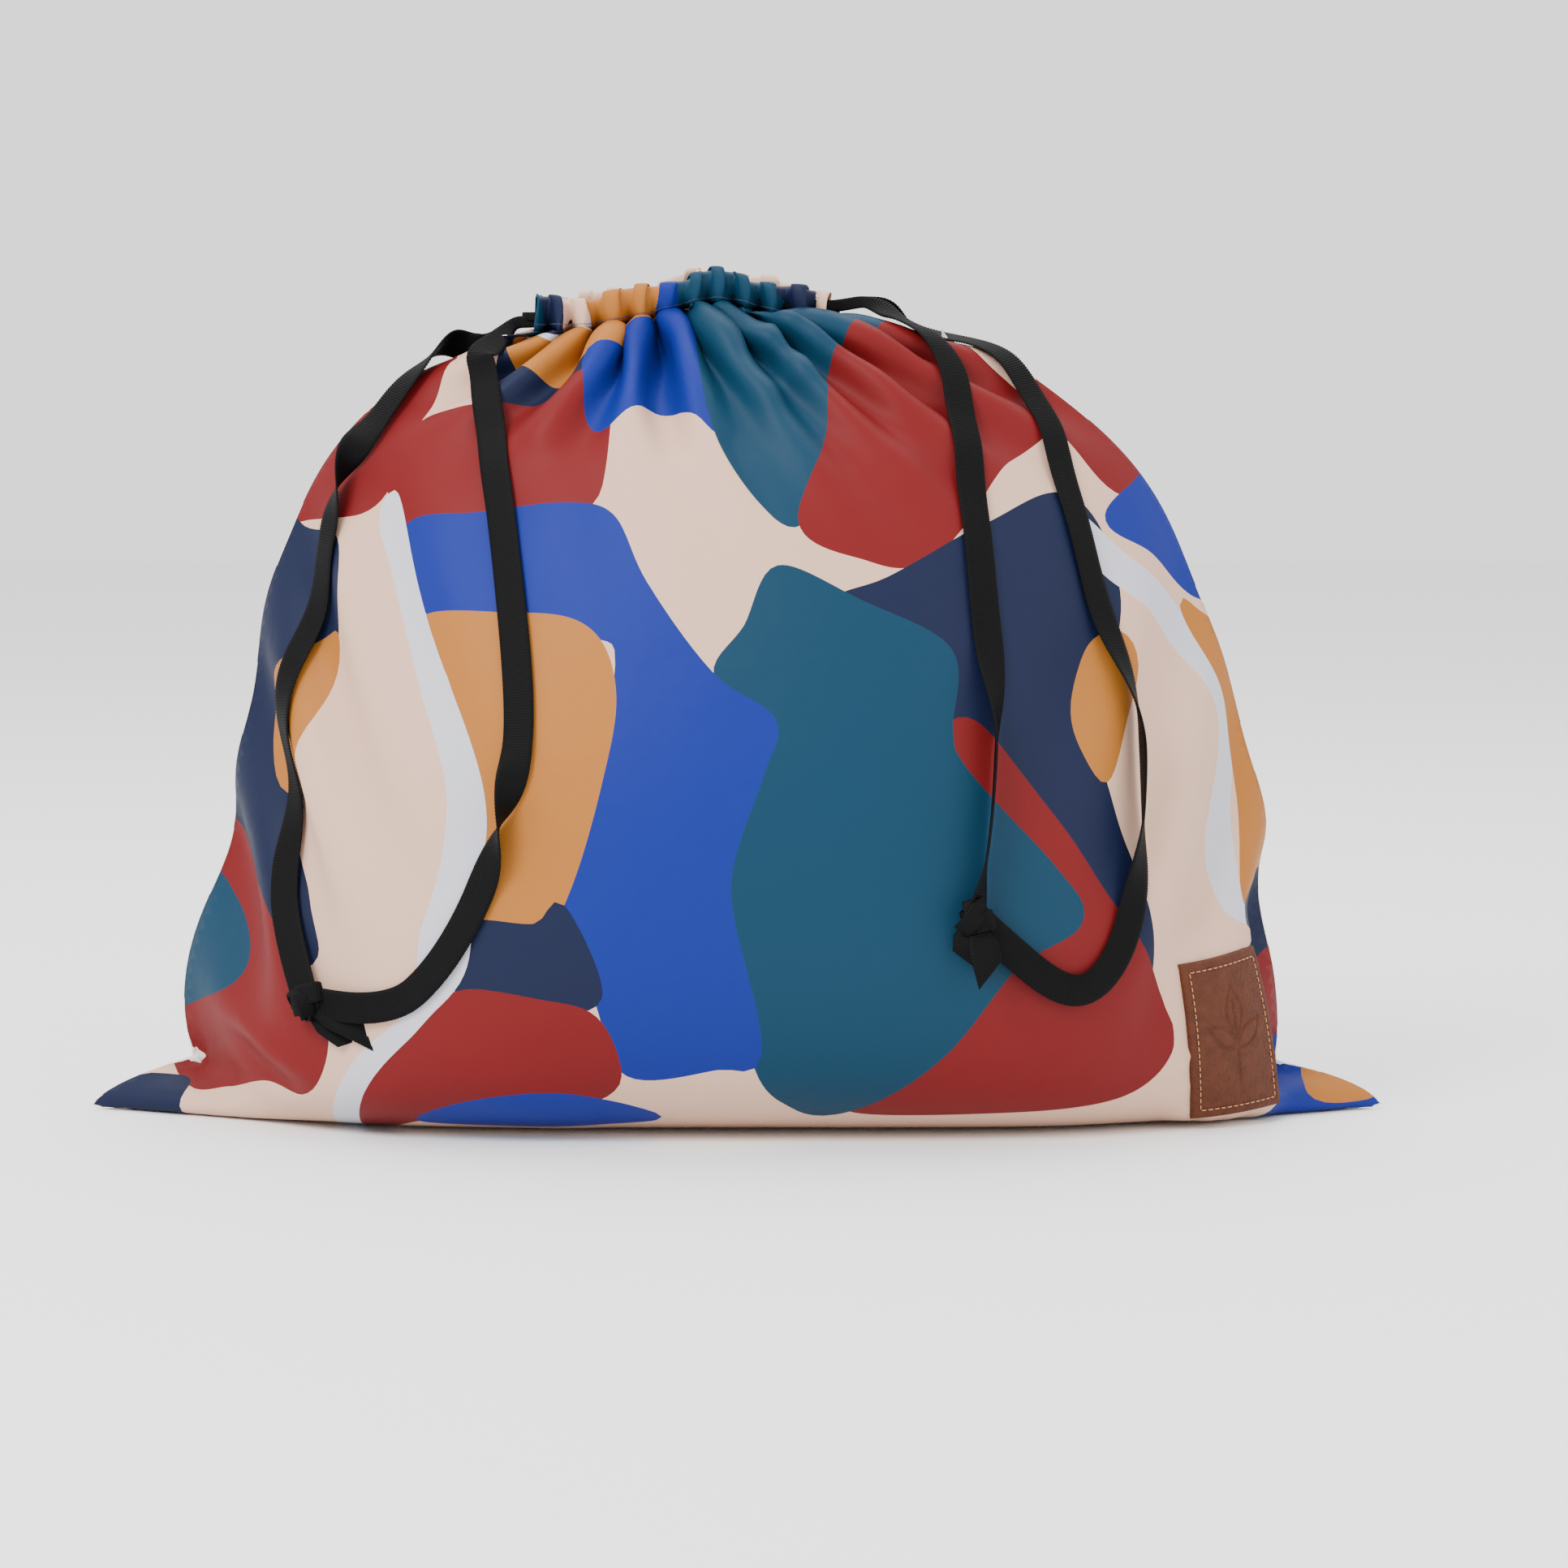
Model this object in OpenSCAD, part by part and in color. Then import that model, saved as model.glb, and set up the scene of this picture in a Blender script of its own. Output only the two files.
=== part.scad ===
// Drawstring sack of two printed cloth panels, standing filled out, with its two ribbon drawstrings.
// Origin: floor level, midway between the two corner tips. Front is -Y, up is +Z, sizes in mm.

/* [Sack] */
// Width from corner tip to corner tip
sack_w = 650; // [560:5:740]
// Depth of the filled-out sack, front to back
sack_d = 290; // [240:5:320]
// Thickness of the solid that stands for the cloth
cloth_t = 1.6; // [1.2:0.1:2.4]
// Width of the seam allowance turned inside
seam_w = 10; // [6:1:12]

/* [Casing] */
// Height of the drawstring casing
casing_h = 20; // [18:1:24]
// Distance between the outer faces of the two casings
casing_d = 44; // [40:1:52]
// Height at which the casings start
casing_z = 390; // [390:1:392]

/* [Drawstrings] */
// Width of the ribbon where it lies open
ribbon_w = 15; // [10:1:16]
// Thickness of the ribbon
ribbon_t = 1.6; // [1.2:0.1:2]

/* [Patch] */
// Thickness of the leather patch
patch_t = 2; // [1.2:0.2:2.4]

/* [Hidden] */

front = -1;
back = 1;
wide = sack_w / 650;
deep = sack_d / 290;
seam_gap = 0.6;
bottom_half_w = 6;
corner_x = 325;
thread = 0.5;

// The side seams as [x, z], at every tenth of the panel's height from the bottom corner up
left_edge = [
    [-325, 2], [-272, 26], [-263, 76], [-249, 126], [-239, 176], [-234, 226],
    [-220, 276], [-202, 320], [-168, 354], [-128, 375], [-98, 389]
];
right_edge = [
    [325, 2], [272, 24], [255, 70], [258, 118], [252, 166], [240, 214],
    [223, 260], [204, 306], [164, 346], [106, 378], [44, 389]
];
// The middle of a panel as [distance from the mid plane, z], at the same heights
middle_line = [
    [6, 0], [60, 0], [114, 18], [138, 64], [145, 114], [143, 166],
    [132, 218], [114, 270], [88, 320], [52, 362], [20, 389]
];

// Smooth curve through evenly spaced points, t from 0 to 1
function smooth_curve(points, t) =
    let (
        last = len(points) - 1,
        k = min(last - 1, floor(t * last)),
        f = t * last - k,
        a = points[max(0, k - 1)],
        b = points[k],
        c = points[k + 1],
        d = points[min(last, k + 2)]
    )
    b + f * (c - a) / 2 + f * f * (2 * a - 5 * b + 4 * c - d) / 2 + f * f * f * (3 * b - a - 3 * c + d) / 2;

// Point on a panel: s from -1 at the left seam to 1 at the right seam, v from 0 at the bottom to 1 at the casing.
// Low rows are boxier than high ones, and the bottom row is a straight line on the floor.
function panel_point(s, v, side) =
    let (
        left = smooth_curve(left_edge, v),
        right = smooth_curve(right_edge, v),
        middle = smooth_curve(middle_line, v),
        lowness = pow(1 - v, 3),
        half_w = (right[0] - left[0]) / 2,
        spread = min(10 + 300 * (1 - half_w / corner_x), 50 + 30 * lowness),
        seam_z = left[1] + (right[1] - left[1]) * (s + 1) / 2,
        edge_gap = max(seam_gap, bottom_half_w * (1 - 20 * v)),
        fullness = 1 - pow(abs(s), 2 + 4 * lowness),
        settle = 1 - pow(abs(s), 2.5 + 5 * lowness)
    )
    [
        wide * ((left[0] + right[0]) / 2 + half_w * sin(spread * s) / sin(spread)),
        side * (edge_gap + max(0, deep * middle[0] - edge_gap) * fullness),
        max(0, seam_z + (middle[1] - seam_z) * settle - 0.8 * lowness) * (v > 0.02 ? 1 : 0)
    ];

function unit(a) = a / max(norm(a), 1e-9);

// Outward direction of a panel
function panel_normal(s, v, side) =
    let (
        h = 0.01,
        along = panel_point(min(1, s + h), v, side) - panel_point(max(-1, s - h), v, side),
        up = panel_point(s, min(1, v + h), side) - panel_point(s, max(0, v - h), side)
    )
    -side * unit(cross(along, up));

// Closed skin over two grids of the same rows and columns
module grid_shell(outer, inner, flip) {
    rows = len(outer);
    cols = len(outer[0]);
    count = rows * cols;
    points = concat([for (row = outer, p = row) p], [for (row = inner, p = row) p]);
    function at(i, j) = i * cols + j;
    faces = concat(
        [for (i = [0:rows - 2], j = [0:cols - 2]) [at(i, j), at(i + 1, j), at(i + 1, j + 1)]],
        [for (i = [0:rows - 2], j = [0:cols - 2]) [at(i, j), at(i + 1, j + 1), at(i, j + 1)]],
        [for (i = [0:rows - 2], j = [0:cols - 2]) count * [1, 1, 1] + [at(i + 1, j + 1), at(i + 1, j), at(i, j)]],
        [for (i = [0:rows - 2], j = [0:cols - 2]) count * [1, 1, 1] + [at(i, j + 1), at(i + 1, j + 1), at(i, j)]],
        [for (i = [0:rows - 2], j = [0, cols - 1]) wall(at(i, j), at(i + 1, j), count, j == 0)],
        [for (j = [0:cols - 2], i = [0, rows - 1]) wall(at(i, j), at(i, j + 1), count, i > 0)]
    );
    polyhedron(points, flip ? [for (f = faces) reverse(f)] : faces, convexity = 8);
}

// Edge face between outer points a, b and the inner points that lie count places on
function wall(a, b, count, turned) =
    turned ? [b, a, a + count, b + count] : [a, b, b + count, a + count];

function reverse(f) = [for (i = [len(f) - 1:-1:0]) f[i]];

module cloth_panel(side) {
    cols = 41;
    rows = 34;
    s = [for (j = [0:cols - 1]) 2 * j / (cols - 1) - 1];
    v = [for (i = [0:rows - 1]) i / (rows - 1)];
    outer = [for (b = v) [for (a = s) panel_point(a, b, side)]];
    inner = [for (b = v) [for (a = s) panel_point(a, b, side) - cloth_t * lining_direction(a, b, side)]];
    grid_shell(outer, inner, side == back);
}

// Direction in which the cloth's thickness is laid: level at the top edge, upright on the floor
function lining_direction(s, v, side) =
    let (n = panel_normal(s, v, side))
    v < 0.001 ? [0, 0, -1]
        : v > 0.999 ? unit([n[0], n[1], 0])
        : abs(s) > 0.999 ? unit([n[0], 0, n[2]])
        : n;

// Inner allowance of a side seam, from just above the corner tip up to the vent
module side_seam(edge) {
    count = 36;
    first = 0.05;
    last = 0.88;
    v = [for (i = [0:count]) first + (last - first) * i / count];
    function at_edge(t) = let (p = smooth_curve(edge, t)) [wide * p[0], p[1]];
    function inward(t) =
        let (d = unit(at_edge(min(1, t + 0.01)) - at_edge(t - 0.01)))
        edge[0][0] < 0 ? [d[1], -d[0]] : [-d[1], d[0]];
    rail = [for (t = v) at_edge(t)];
    allowance = [for (i = [0:count]) rail[i] + min(seam_w, 3 + 14 * i / count) * inward(v[i])];
    rotate([90, 0, 0])
        translate([0, 0, -seam_gap])
            linear_extrude(2 * seam_gap)
                polygon(concat(rail, reverse(allowance)));
}

// Flat allowance of the bottom seam, which rests on the floor
module bottom_strip() {
    linear_extrude(cloth_t)
        square([wide * 644, 2 * bottom_half_w], center = true);
}

casing_left = -98;
casing_right = 44;
tunnel_h = casing_h - 2 * cloth_t;
tunnel_d = 6.6;
lip_left = -59;
lip_right = 5;

// Hem folded over into a tunnel. Its inner wall stops short of the vents, where the ribbons cross.
module casing() {
    wall_y = casing_d / 2;
    lip_y = wall_y - 2 * cloth_t - tunnel_d;
    difference() {
        translate([casing_left, -wall_y, casing_z])
            cube([casing_right - casing_left, wall_y - lip_y, casing_h]);
        translate([casing_left - 1, -wall_y + cloth_t, casing_z + cloth_t])
            cube([casing_right - casing_left + 2, tunnel_d, tunnel_h]);
        translate([casing_left - 1, -wall_y + cloth_t, casing_z + cloth_t])
            cube([lip_left - casing_left + 1, tunnel_d + 2 * cloth_t, tunnel_h]);
        translate([lip_right, -wall_y + cloth_t, casing_z + cloth_t])
            cube([casing_right - lip_right + 1, tunnel_d + 2 * cloth_t, tunnel_h]);
    }
}

// Row of stitches that closes the casing
module casing_stitches() {
    pitch = 3.5;
    for (x = [casing_left + 2:pitch:casing_right - 4])
        translate([x, -casing_d / 2 - thread, casing_z + 2])
            cube([2.6, thread, thread]);
}

// Dense white stitches that lock the lower end of a vent
module bartack(edge) {
    p = smooth_curve(edge, 0.9);
    along = smooth_curve(edge, 0.92) - smooth_curve(edge, 0.88);
    translate([wide * p[0], 0, p[1] + 1.8])
        rotate([0, -atan2(along[1], along[0]), 0])
            cube([5, 2.4, 1.2], center = true);
}

patch_s = [0.75, 0.92];
patch_v = [0.11, 0.26];

// Point of the patch: a and b from 0 to 1 across and up, lift above the cloth
function patch_point(a, b, lift) =
    let (
        s = patch_s[0] + (patch_s[1] - patch_s[0]) * a,
        v = patch_v[0] + (patch_v[1] - patch_v[0]) * b
    )
    panel_point(s, v, front) + lift * panel_normal(s, v, front);

module patch() {
    n = 12;
    outer = [for (i = [0:n]) [for (j = [0:n]) patch_point(j / n, i / n, 0.3 + patch_t)]];
    inner = [for (i = [0:n]) [for (j = [0:n]) patch_point(j / n, i / n, 0.3)]];
    grid_shell(outer, inner, false);
}

// One stitch between two places on the patch, lying on its face
module patch_stitch(a0, b0, a1, b1) {
    low = 0.4 + patch_t;
    p = [patch_point(a0, b0, low), patch_point(a1, b1, low)];
    q = [patch_point(a0, b0, low + thread), patch_point(a1, b1, low + thread)];
    side = 0.4 * unit(cross(p[1] - p[0], q[0] - p[0]));
    polyhedron(
        [p[0] - side, p[0] + side, q[0] + side, q[0] - side, p[1] - side, p[1] + side, q[1] + side, q[1] - side],
        [[3, 2, 1, 0], [4, 5, 6, 7], [0, 1, 5, 4], [1, 2, 6, 5], [2, 3, 7, 6], [3, 0, 4, 7]]
    );
}

module patch_seam() {
    inset_a = 0.09;
    inset_b = 0.06;
    across = 14;
    up = 22;
    for (i = [0:across - 1], b = [inset_b, 1 - inset_b]) {
        a = inset_a + (1 - 2 * inset_a) * i / across;
        patch_stitch(a, b, a + 0.7 * (1 - 2 * inset_a) / across, b);
    }
    for (i = [0:up - 1], a = [inset_a, 1 - inset_a]) {
        b = inset_b + (1 - 2 * inset_b) * i / up;
        patch_stitch(a, b, a, b + 0.7 * (1 - 2 * inset_b) / up);
    }
}

// Band swept along a path. Its broad side faces away from a line well behind the sack, or is upright.
module band(path, w, t, upright) {
    n = len(path);
    behind = [0, 160, 170];
    function along(i) = unit(path[min(n - 1, i + 1)] - path[max(0, i - 1)]);
    function across(i) = upright ? [0, 0, 1] : unit(cross(along(i), path[i] - behind));
    function out(i) = unit(cross(across(i), along(i)));
    corner = [[-1, -0.5], [-0.9, -1], [0.9, -1], [1, -0.5], [1, 0.5], [0.9, 1], [-0.9, 1], [-1, 0.5]];
    m = len(corner);
    points = [for (i = [0:n - 1], c = corner) path[i] + across(i) * c[0] * w / 2 + out(i) * c[1] * t / 2];
    function at(i, k) = i * m + k % m;
    sides = [for (i = [0:n - 2], k = [0:m - 1], half = [0, 1])
        half == 0 ? [at(i, k), at(i, k + 1), at(i + 1, k + 1)] : [at(i, k), at(i + 1, k + 1), at(i + 1, k)]];
    ends = [[for (k = [m - 1:-1:0]) k], [for (k = [0:m - 1]) (n - 1) * m + k]];
    polyhedron(points, concat(sides, ends), convexity = 10);
}

// Part of a ribbon that stays inside the casings: in at one vent, round the far one and back
module drawstring_run(vent_x, turn_x, z) {
    out = vent_x < turn_x ? -1 : 1;
    y = casing_d / 2 - cloth_t - tunnel_d / 2;
    half = [
        [vent_x, -3, z], [vent_x - 7 * out, -6, z], [vent_x - 14 * out, -12, z], [vent_x - 22 * out, -y, z],
        [(vent_x + turn_x) / 2, -y, z], [turn_x + 8 * out, -y, z],
        [turn_x + 3 * out, -y + 2, z], [turn_x, -y + 6, z], [turn_x, -y + 10, z]
    ];
    other = [for (i = [len(half) - 1:-1:0]) [half[i][0], -half[i][1], z]];
    band(concat(half, other), 7, ribbon_t, true);
}

// Overhand knot with two short tails, lying on the cloth
module knot(at, tail) {
    translate(at)
        rotate([0, 25, 0])
            cube([17, 9, 17], center = true);
    translate(at + tail / 2)
        rotate([0, acos(tail[2] / norm(tail)), atan2(tail[1], tail[0])])
            cube([ribbon_w * 0.8, 2.4, norm(tail)], center = true);
}

left_outer_route = [
    [-116, 3, 396], [-122, 3, 391], [-132, 2, 384], [-146, -1, 377], [-160, -6, 367], [-173, -12, 352],
    [-183, -19, 328], [-192, -27, 304], [-203, -32, 270], [-213, -37, 232], [-219, -43, 194], [-220, -49, 160],
    [-219, -60, 126], [-216, -74, 96], [-210, -86, 76]
];
left_inner_route = [
    [-116, -5, 396], [-119, -9, 391], [-121, -14, 380], [-122, -23, 367], [-120, -43, 348], [-116, -65, 322],
    [-111, -88, 288], [-106, -107, 252], [-102, -122, 216], [-102, -132, 184], [-108, -136, 154],
    [-118, -136, 126], [-132, -133, 98], [-151, -127, 73], [-174, -117, 58], [-193, -105, 58]
];
left_knot_at = [-207, -104, 64];
left_tail = [30, -17, -13];

right_inner_route = [
    [62, -5, 402], [72, -8, 401], [83, -11, 396], [93, -14, 387], [101, -19, 374], [107, -36, 356],
    [111, -56, 334], [115, -79, 300], [119, -99, 260], [122, -113, 220], [121, -128, 180], [118, -137, 144],
    [113, -142, 118]
];
right_outer_route = [
    [62, 5, 402], [74, 5, 400], [92, 4, 394], [112, 2, 387], [130, -3, 377], [143, -11, 361], [152, -23, 342],
    [160, -41, 316], [168, -56, 286], [177, -64, 252], [186, -72, 220], [193, -81, 184], [194, -93, 150],
    [191, -105, 118], [182, -116, 88], [164, -126, 70], [147, -133, 80], [135, -137, 98], [122, -141, 112]
];
right_knot_at = [111, -147, 108];
right_tail = [8, -1, -24];

module front_panel() { color([0.19, 0.32, 0.72]) cloth_panel(front); }
module back_panel() { color([0.13, 0.37, 0.49]) cloth_panel(back); }
module left_side_seam() { color([0.15, 0.21, 0.39]) side_seam(left_edge); }
module right_side_seam() { color([0.15, 0.21, 0.39]) side_seam(right_edge); }
module bottom_seam() { color([0.15, 0.21, 0.39]) bottom_strip(); }
module front_casing() { color([0.78, 0.59, 0.31]) casing(); }
module back_casing() { color([0.62, 0.2, 0.2]) mirror([0, 1, 0]) casing(); }
module front_casing_stitching() { color([0.1, 0.12, 0.25]) casing_stitches(); }
module back_casing_stitching() { color([0.1, 0.12, 0.25]) mirror([0, 1, 0]) casing_stitches(); }
module left_vent_bartack() { color("white") bartack(left_edge); }
module right_vent_bartack() { color("white") bartack(right_edge); }
module leather_patch() { color([0.53, 0.33, 0.2]) patch(); }
module patch_stitching() { color([0.62, 0.42, 0.25]) patch_seam(); }
module left_drawstring_run() { color([0.13, 0.13, 0.13]) drawstring_run(-112, 38, 396); }
module right_drawstring_run() { color([0.13, 0.13, 0.13]) drawstring_run(58, -92, 404); }
module left_outer_strand() { color([0.13, 0.13, 0.13]) band(left_outer_route, ribbon_w, ribbon_t, false); }
module left_inner_strand() { color([0.13, 0.13, 0.13]) band(left_inner_route, ribbon_w, ribbon_t, false); }
module left_knot() { color([0.1, 0.1, 0.1]) knot(left_knot_at, left_tail); }
module right_outer_strand() { color([0.13, 0.13, 0.13]) band(right_outer_route, ribbon_w, ribbon_t, false); }
module right_inner_strand() { color([0.13, 0.13, 0.13]) band(right_inner_route, ribbon_w, ribbon_t, false); }
module right_knot() { color([0.1, 0.1, 0.1]) knot(right_knot_at, right_tail); }

front_panel();
back_panel();
left_side_seam();
right_side_seam();
bottom_seam();
front_casing();
back_casing();
front_casing_stitching();
back_casing_stitching();
left_vent_bartack();
right_vent_bartack();
leather_patch();
patch_stitching();
left_drawstring_run();
right_drawstring_run();
left_outer_strand();
left_inner_strand();
left_knot();
right_outer_strand();
right_inner_strand();
right_knot();
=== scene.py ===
import math

import bpy
import numpy as np
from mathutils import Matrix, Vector
from mathutils.bvhtree import BVHTree
from mathutils.geometry import delaunay_2d_cdt


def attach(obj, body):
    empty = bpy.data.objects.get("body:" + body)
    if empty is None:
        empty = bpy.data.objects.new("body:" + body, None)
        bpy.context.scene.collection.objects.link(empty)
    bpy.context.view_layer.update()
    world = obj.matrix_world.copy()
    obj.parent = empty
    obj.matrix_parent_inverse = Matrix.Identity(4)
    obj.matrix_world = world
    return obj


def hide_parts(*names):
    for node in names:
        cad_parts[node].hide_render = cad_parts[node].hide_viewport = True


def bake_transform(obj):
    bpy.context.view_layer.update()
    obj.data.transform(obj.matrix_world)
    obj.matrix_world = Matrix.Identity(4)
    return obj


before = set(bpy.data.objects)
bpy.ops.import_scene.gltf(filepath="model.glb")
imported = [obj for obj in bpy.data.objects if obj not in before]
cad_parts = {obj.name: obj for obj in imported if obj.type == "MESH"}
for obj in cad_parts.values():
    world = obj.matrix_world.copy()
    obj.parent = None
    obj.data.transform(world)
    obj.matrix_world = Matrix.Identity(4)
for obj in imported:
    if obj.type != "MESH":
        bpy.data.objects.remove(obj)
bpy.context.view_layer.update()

MM = 0.001
rng = np.random.default_rng(7)

# ---------------------------------------------------------------- camera, light and floor

CAMERA_DISTANCE = 2.6
CAMERA_ELEVATION = math.radians(5)
VIEW_CENTRE = Vector((0.0234, 0.0, 0.161))
VIEW_WIDTH = 0.773
# Name, place, size and power of each lamp
LAMPS = [
    ("key_light", (-1.6, -2.0, 2.3), 1.3, 105),
    ("fill_light", (2.2, -1.8, 1.4), 1.8, 22),
    ("top_light", (0.0, 0.8, 2.6), 2.0, 55),
]
LAMP_TARGET = (0, 0, 0.2)
SKY_STRENGTH = 1.6
FLOOR_HALF = 6
FLOOR_DROP = 0.0006


def make_camera():
    data = bpy.data.cameras.new("camera")
    camera = bpy.data.objects.new("camera", data)
    bpy.context.collection.objects.link(camera)
    away = Vector((0, -math.cos(CAMERA_ELEVATION), math.sin(CAMERA_ELEVATION)))
    camera.location = VIEW_CENTRE + CAMERA_DISTANCE * away
    camera.rotation_euler = (-away).to_track_quat("-Z", "Y").to_euler()
    data.sensor_width = 36
    data.lens = data.sensor_width * CAMERA_DISTANCE / VIEW_WIDTH
    data.clip_end = 50
    bpy.context.scene.camera = camera


def make_lamp(name, place, size, power):
    data = bpy.data.lights.new(name, "AREA")
    data.size = size
    data.energy = power
    lamp = bpy.data.objects.new(name, data)
    lamp.location = place
    lamp.rotation_euler = (Vector(LAMP_TARGET) - Vector(place)).to_track_quat("-Z", "Y").to_euler()
    bpy.context.collection.objects.link(lamp)


def make_sky():
    world = bpy.data.worlds.new("studio")
    world.use_nodes = True
    background = world.node_tree.nodes["Background"]
    background.inputs["Color"].default_value = (1, 1, 1, 1)
    background.inputs["Strength"].default_value = SKY_STRENGTH
    bpy.context.scene.world = world


def make_floor():
    mesh = bpy.data.meshes.new("floor")
    corners = [(x * FLOOR_HALF, y * FLOOR_HALF, 0) for x, y in ((-1, -1), (1, -1), (1, 1), (-1, 1))]
    mesh.from_pydata(corners, [], [(0, 1, 2, 3)])
    floor = bpy.data.objects.new("floor", mesh)
    floor.location.z = -FLOOR_DROP
    bpy.context.collection.objects.link(floor)
    material = bpy.data.materials.new("pale_floor")
    material.use_nodes = True
    shader = material.node_tree.nodes["Principled BSDF"]
    shader.inputs["Base Color"].default_value = (0.93, 0.93, 0.93, 1)
    shader.inputs["Roughness"].default_value = 0.75
    mesh.materials.append(material)


make_camera()
for lamp in LAMPS:
    make_lamp(*lamp)
make_sky()
make_floor()

# ---------------------------------------------------------------- curves and directions


def unit(v):
    return v / np.maximum(np.linalg.norm(v, axis=-1, keepdims=True), 1e-15)


def ease(t):
    t = np.clip(t, 0, 1)
    return t * t * (3 - 2 * t)


def between(a, b, c, d, f):
    """Point at f between b and c on the smooth curve through a, b, c and d."""
    return b + f * (c - a) / 2 + f**2 * (2 * a - 5 * b + 4 * c - d) / 2 + f**3 * (3 * b - a - 3 * c + d) / 2


def smooth_curve(points, t):
    """Smooth curve through evenly spaced points, t from 0 to 1."""
    points = np.asarray(points, float)
    last = len(points) - 1
    k = np.clip(np.floor(np.asarray(t) * last).astype(int), 0, last - 1)
    f = (np.asarray(t) * last - k)[..., None]
    return between(*(points[np.clip(k + i, 0, last)] for i in (-1, 0, 1, 2)), f)


# ---------------------------------------------------------------- the sack's shape, as part.scad has it

SACK_W = 0.650
PANEL_H = 0.540
CASING_LEFT = -0.098
CASING_RIGHT = 0.044
FRONT, BACK = -1, 1
SIDE_NAME = {FRONT: "front", BACK: "back"}
# Share of the panels' height at which the side seams stop and the vents begin
VENT_V = 0.9

LEFT_EDGE = MM * np.array([
    (-325, 2), (-272, 26), (-263, 76), (-249, 126), (-239, 176), (-234, 226),
    (-220, 276), (-202, 320), (-168, 354), (-128, 375), (-98, 389)])
RIGHT_EDGE = MM * np.array([
    (325, 2), (272, 24), (255, 70), (258, 118), (252, 166), (240, 214),
    (223, 260), (204, 306), (164, 346), (106, 378), (44, 389)])
MIDDLE_LINE = MM * np.array([
    (6, 0), (60, 0), (114, 18), (138, 64), (145, 114), (143, 166),
    (132, 218), (114, 270), (88, 320), (52, 362), (20, 389)])


def panel_point(s, v, side):
    """Where the filled-out panel lies: s from -1 to 1 between the seams, v from 0 to 1 up to the casing."""
    s, v = np.broadcast_arrays(np.asarray(s, float), np.asarray(v, float))
    left, right, middle = (smooth_curve(line, v) for line in (LEFT_EDGE, RIGHT_EDGE, MIDDLE_LINE))
    lowness = (1 - v) ** 3
    half_w = (right[..., 0] - left[..., 0]) / 2
    spread = np.radians(np.minimum(10 + 300 * (1 - half_w / (SACK_W / 2)), 50 + 30 * lowness))
    seam_z = left[..., 1] + (right[..., 1] - left[..., 1]) * (s + 1) / 2
    fullness = 1 - np.abs(s) ** (2 + 4 * lowness)
    settle = 1 - np.abs(s) ** (2.5 + 5 * lowness)
    x = (left[..., 0] + right[..., 0]) / 2 + half_w * np.sin(spread * s) / np.sin(spread)
    y = side * middle[..., 0] * fullness
    z = seam_z + (middle[..., 1] - seam_z) * settle - 0.0008 * lowness
    return np.stack([x, y, np.maximum(z, 0)], -1)


# ---------------------------------------------------------------- the gathered mouth

PLEATS = 11
PLEAT_DEPTH = 0.0090
MOUTH_LOW = 0.383
MOUTH_RISE = 0.013
MOUTH_HALF_DEPTH = 0.0155
mouth_jitter = {side: rng.uniform(-1, 1, (2, 12)) for side in (FRONT, BACK)}


def pleat_phase(s, side):
    """Phase of the gathers along a casing, a little uneven from pleat to pleat."""
    jitter = enumerate(mouth_jitter[side].T)
    wander = sum(j * np.sin((k + 2) * 1.7 * s + 5 * m) / (k + 3) for k, (j, m) in jitter)
    return np.pi * PLEATS * (s + 1) + 1.8 * wander


def pleat_share(s, side):
    """How deep the pleats are, as a share of the full depth."""
    return 0.75 + 0.25 * np.sin(4.3 * s + 1.3 * side)


def mouth_line(s, side, height):
    """Middle line of the gathers at a height above the stitch line, before the pleats."""
    lift = MOUTH_LOW + MOUTH_RISE * np.exp(-(((s - 0.25) / 0.55) ** 2)) + (0.001 if side == BACK else 0)
    y = side * (MOUTH_HALF_DEPTH - 0.003 * s**2) + 0.001 * np.sin(2.2 * s)
    x = CASING_LEFT + (CASING_RIGHT - CASING_LEFT) * (s + 1) / 2
    return x, y, lift + height


def pleated(s, side):
    """The top edge of a panel, gathered along the stitch line."""
    x, y, z = mouth_line(s, side, 0)
    phase = pleat_phase(s, side)
    sway = 0.0010 * np.sin(phase * 2)
    return np.stack([x + sway, y + side * PLEAT_DEPTH * pleat_share(s, side) * np.cos(phase), z + 0 * s], -1)


# ---------------------------------------------------------------- cloth

ROWS, COLS = 109, 131
S = np.linspace(-1, 1, COLS)
V = np.linspace(0, 1, ROWS)
CELL_X = SACK_W / (COLS - 1)
# Moves of the draping, in metres at each step
PRESSURE = 0.00010
WEIGHT = 0.000012
TOP_SPEED = 0.004
FIRST_CREASES = 0.004
KEEP_SPEED = 0.90
PULL_TO_SHAPE = 0.12
# Least height of the cloth over the floor, and least distance from the mid plane
FLOOR_GAP = 0.0002
SIDE_GAP = 0.0004


def cloth_target():
    """The smooth filled-out shape that the cloth settles around, its top row drawn in to the mouth."""
    s, v = np.meshgrid(S, V)
    target = []
    for side in (FRONT, BACK):
        shape = panel_point(s, v, side)
        x, y, z = mouth_line(s, side, 0)
        rim = np.stack([x, y, z + 0 * s], -1)
        pull = ease((v - 0.82) / 0.18)[..., None]
        target.append(shape + pull * (rim - panel_point(s, np.ones_like(v), side)))
    return np.array(target)


def smoothing(n, width):
    """Matrix that blurs n values in a row over about width of them."""
    i = np.arange(n)
    m = np.exp(-(((i[:, None] - i) / width) ** 2))
    return m / m.sum(1, keepdims=True)


def pull_pairs(a, b, rest, share):
    d = b - a
    length = np.sqrt((d * d).sum(-1, keepdims=True))
    move = d * (0.5 * share * (length - rest) / np.maximum(length, 1e-7))
    a += move
    b -= move


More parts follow.
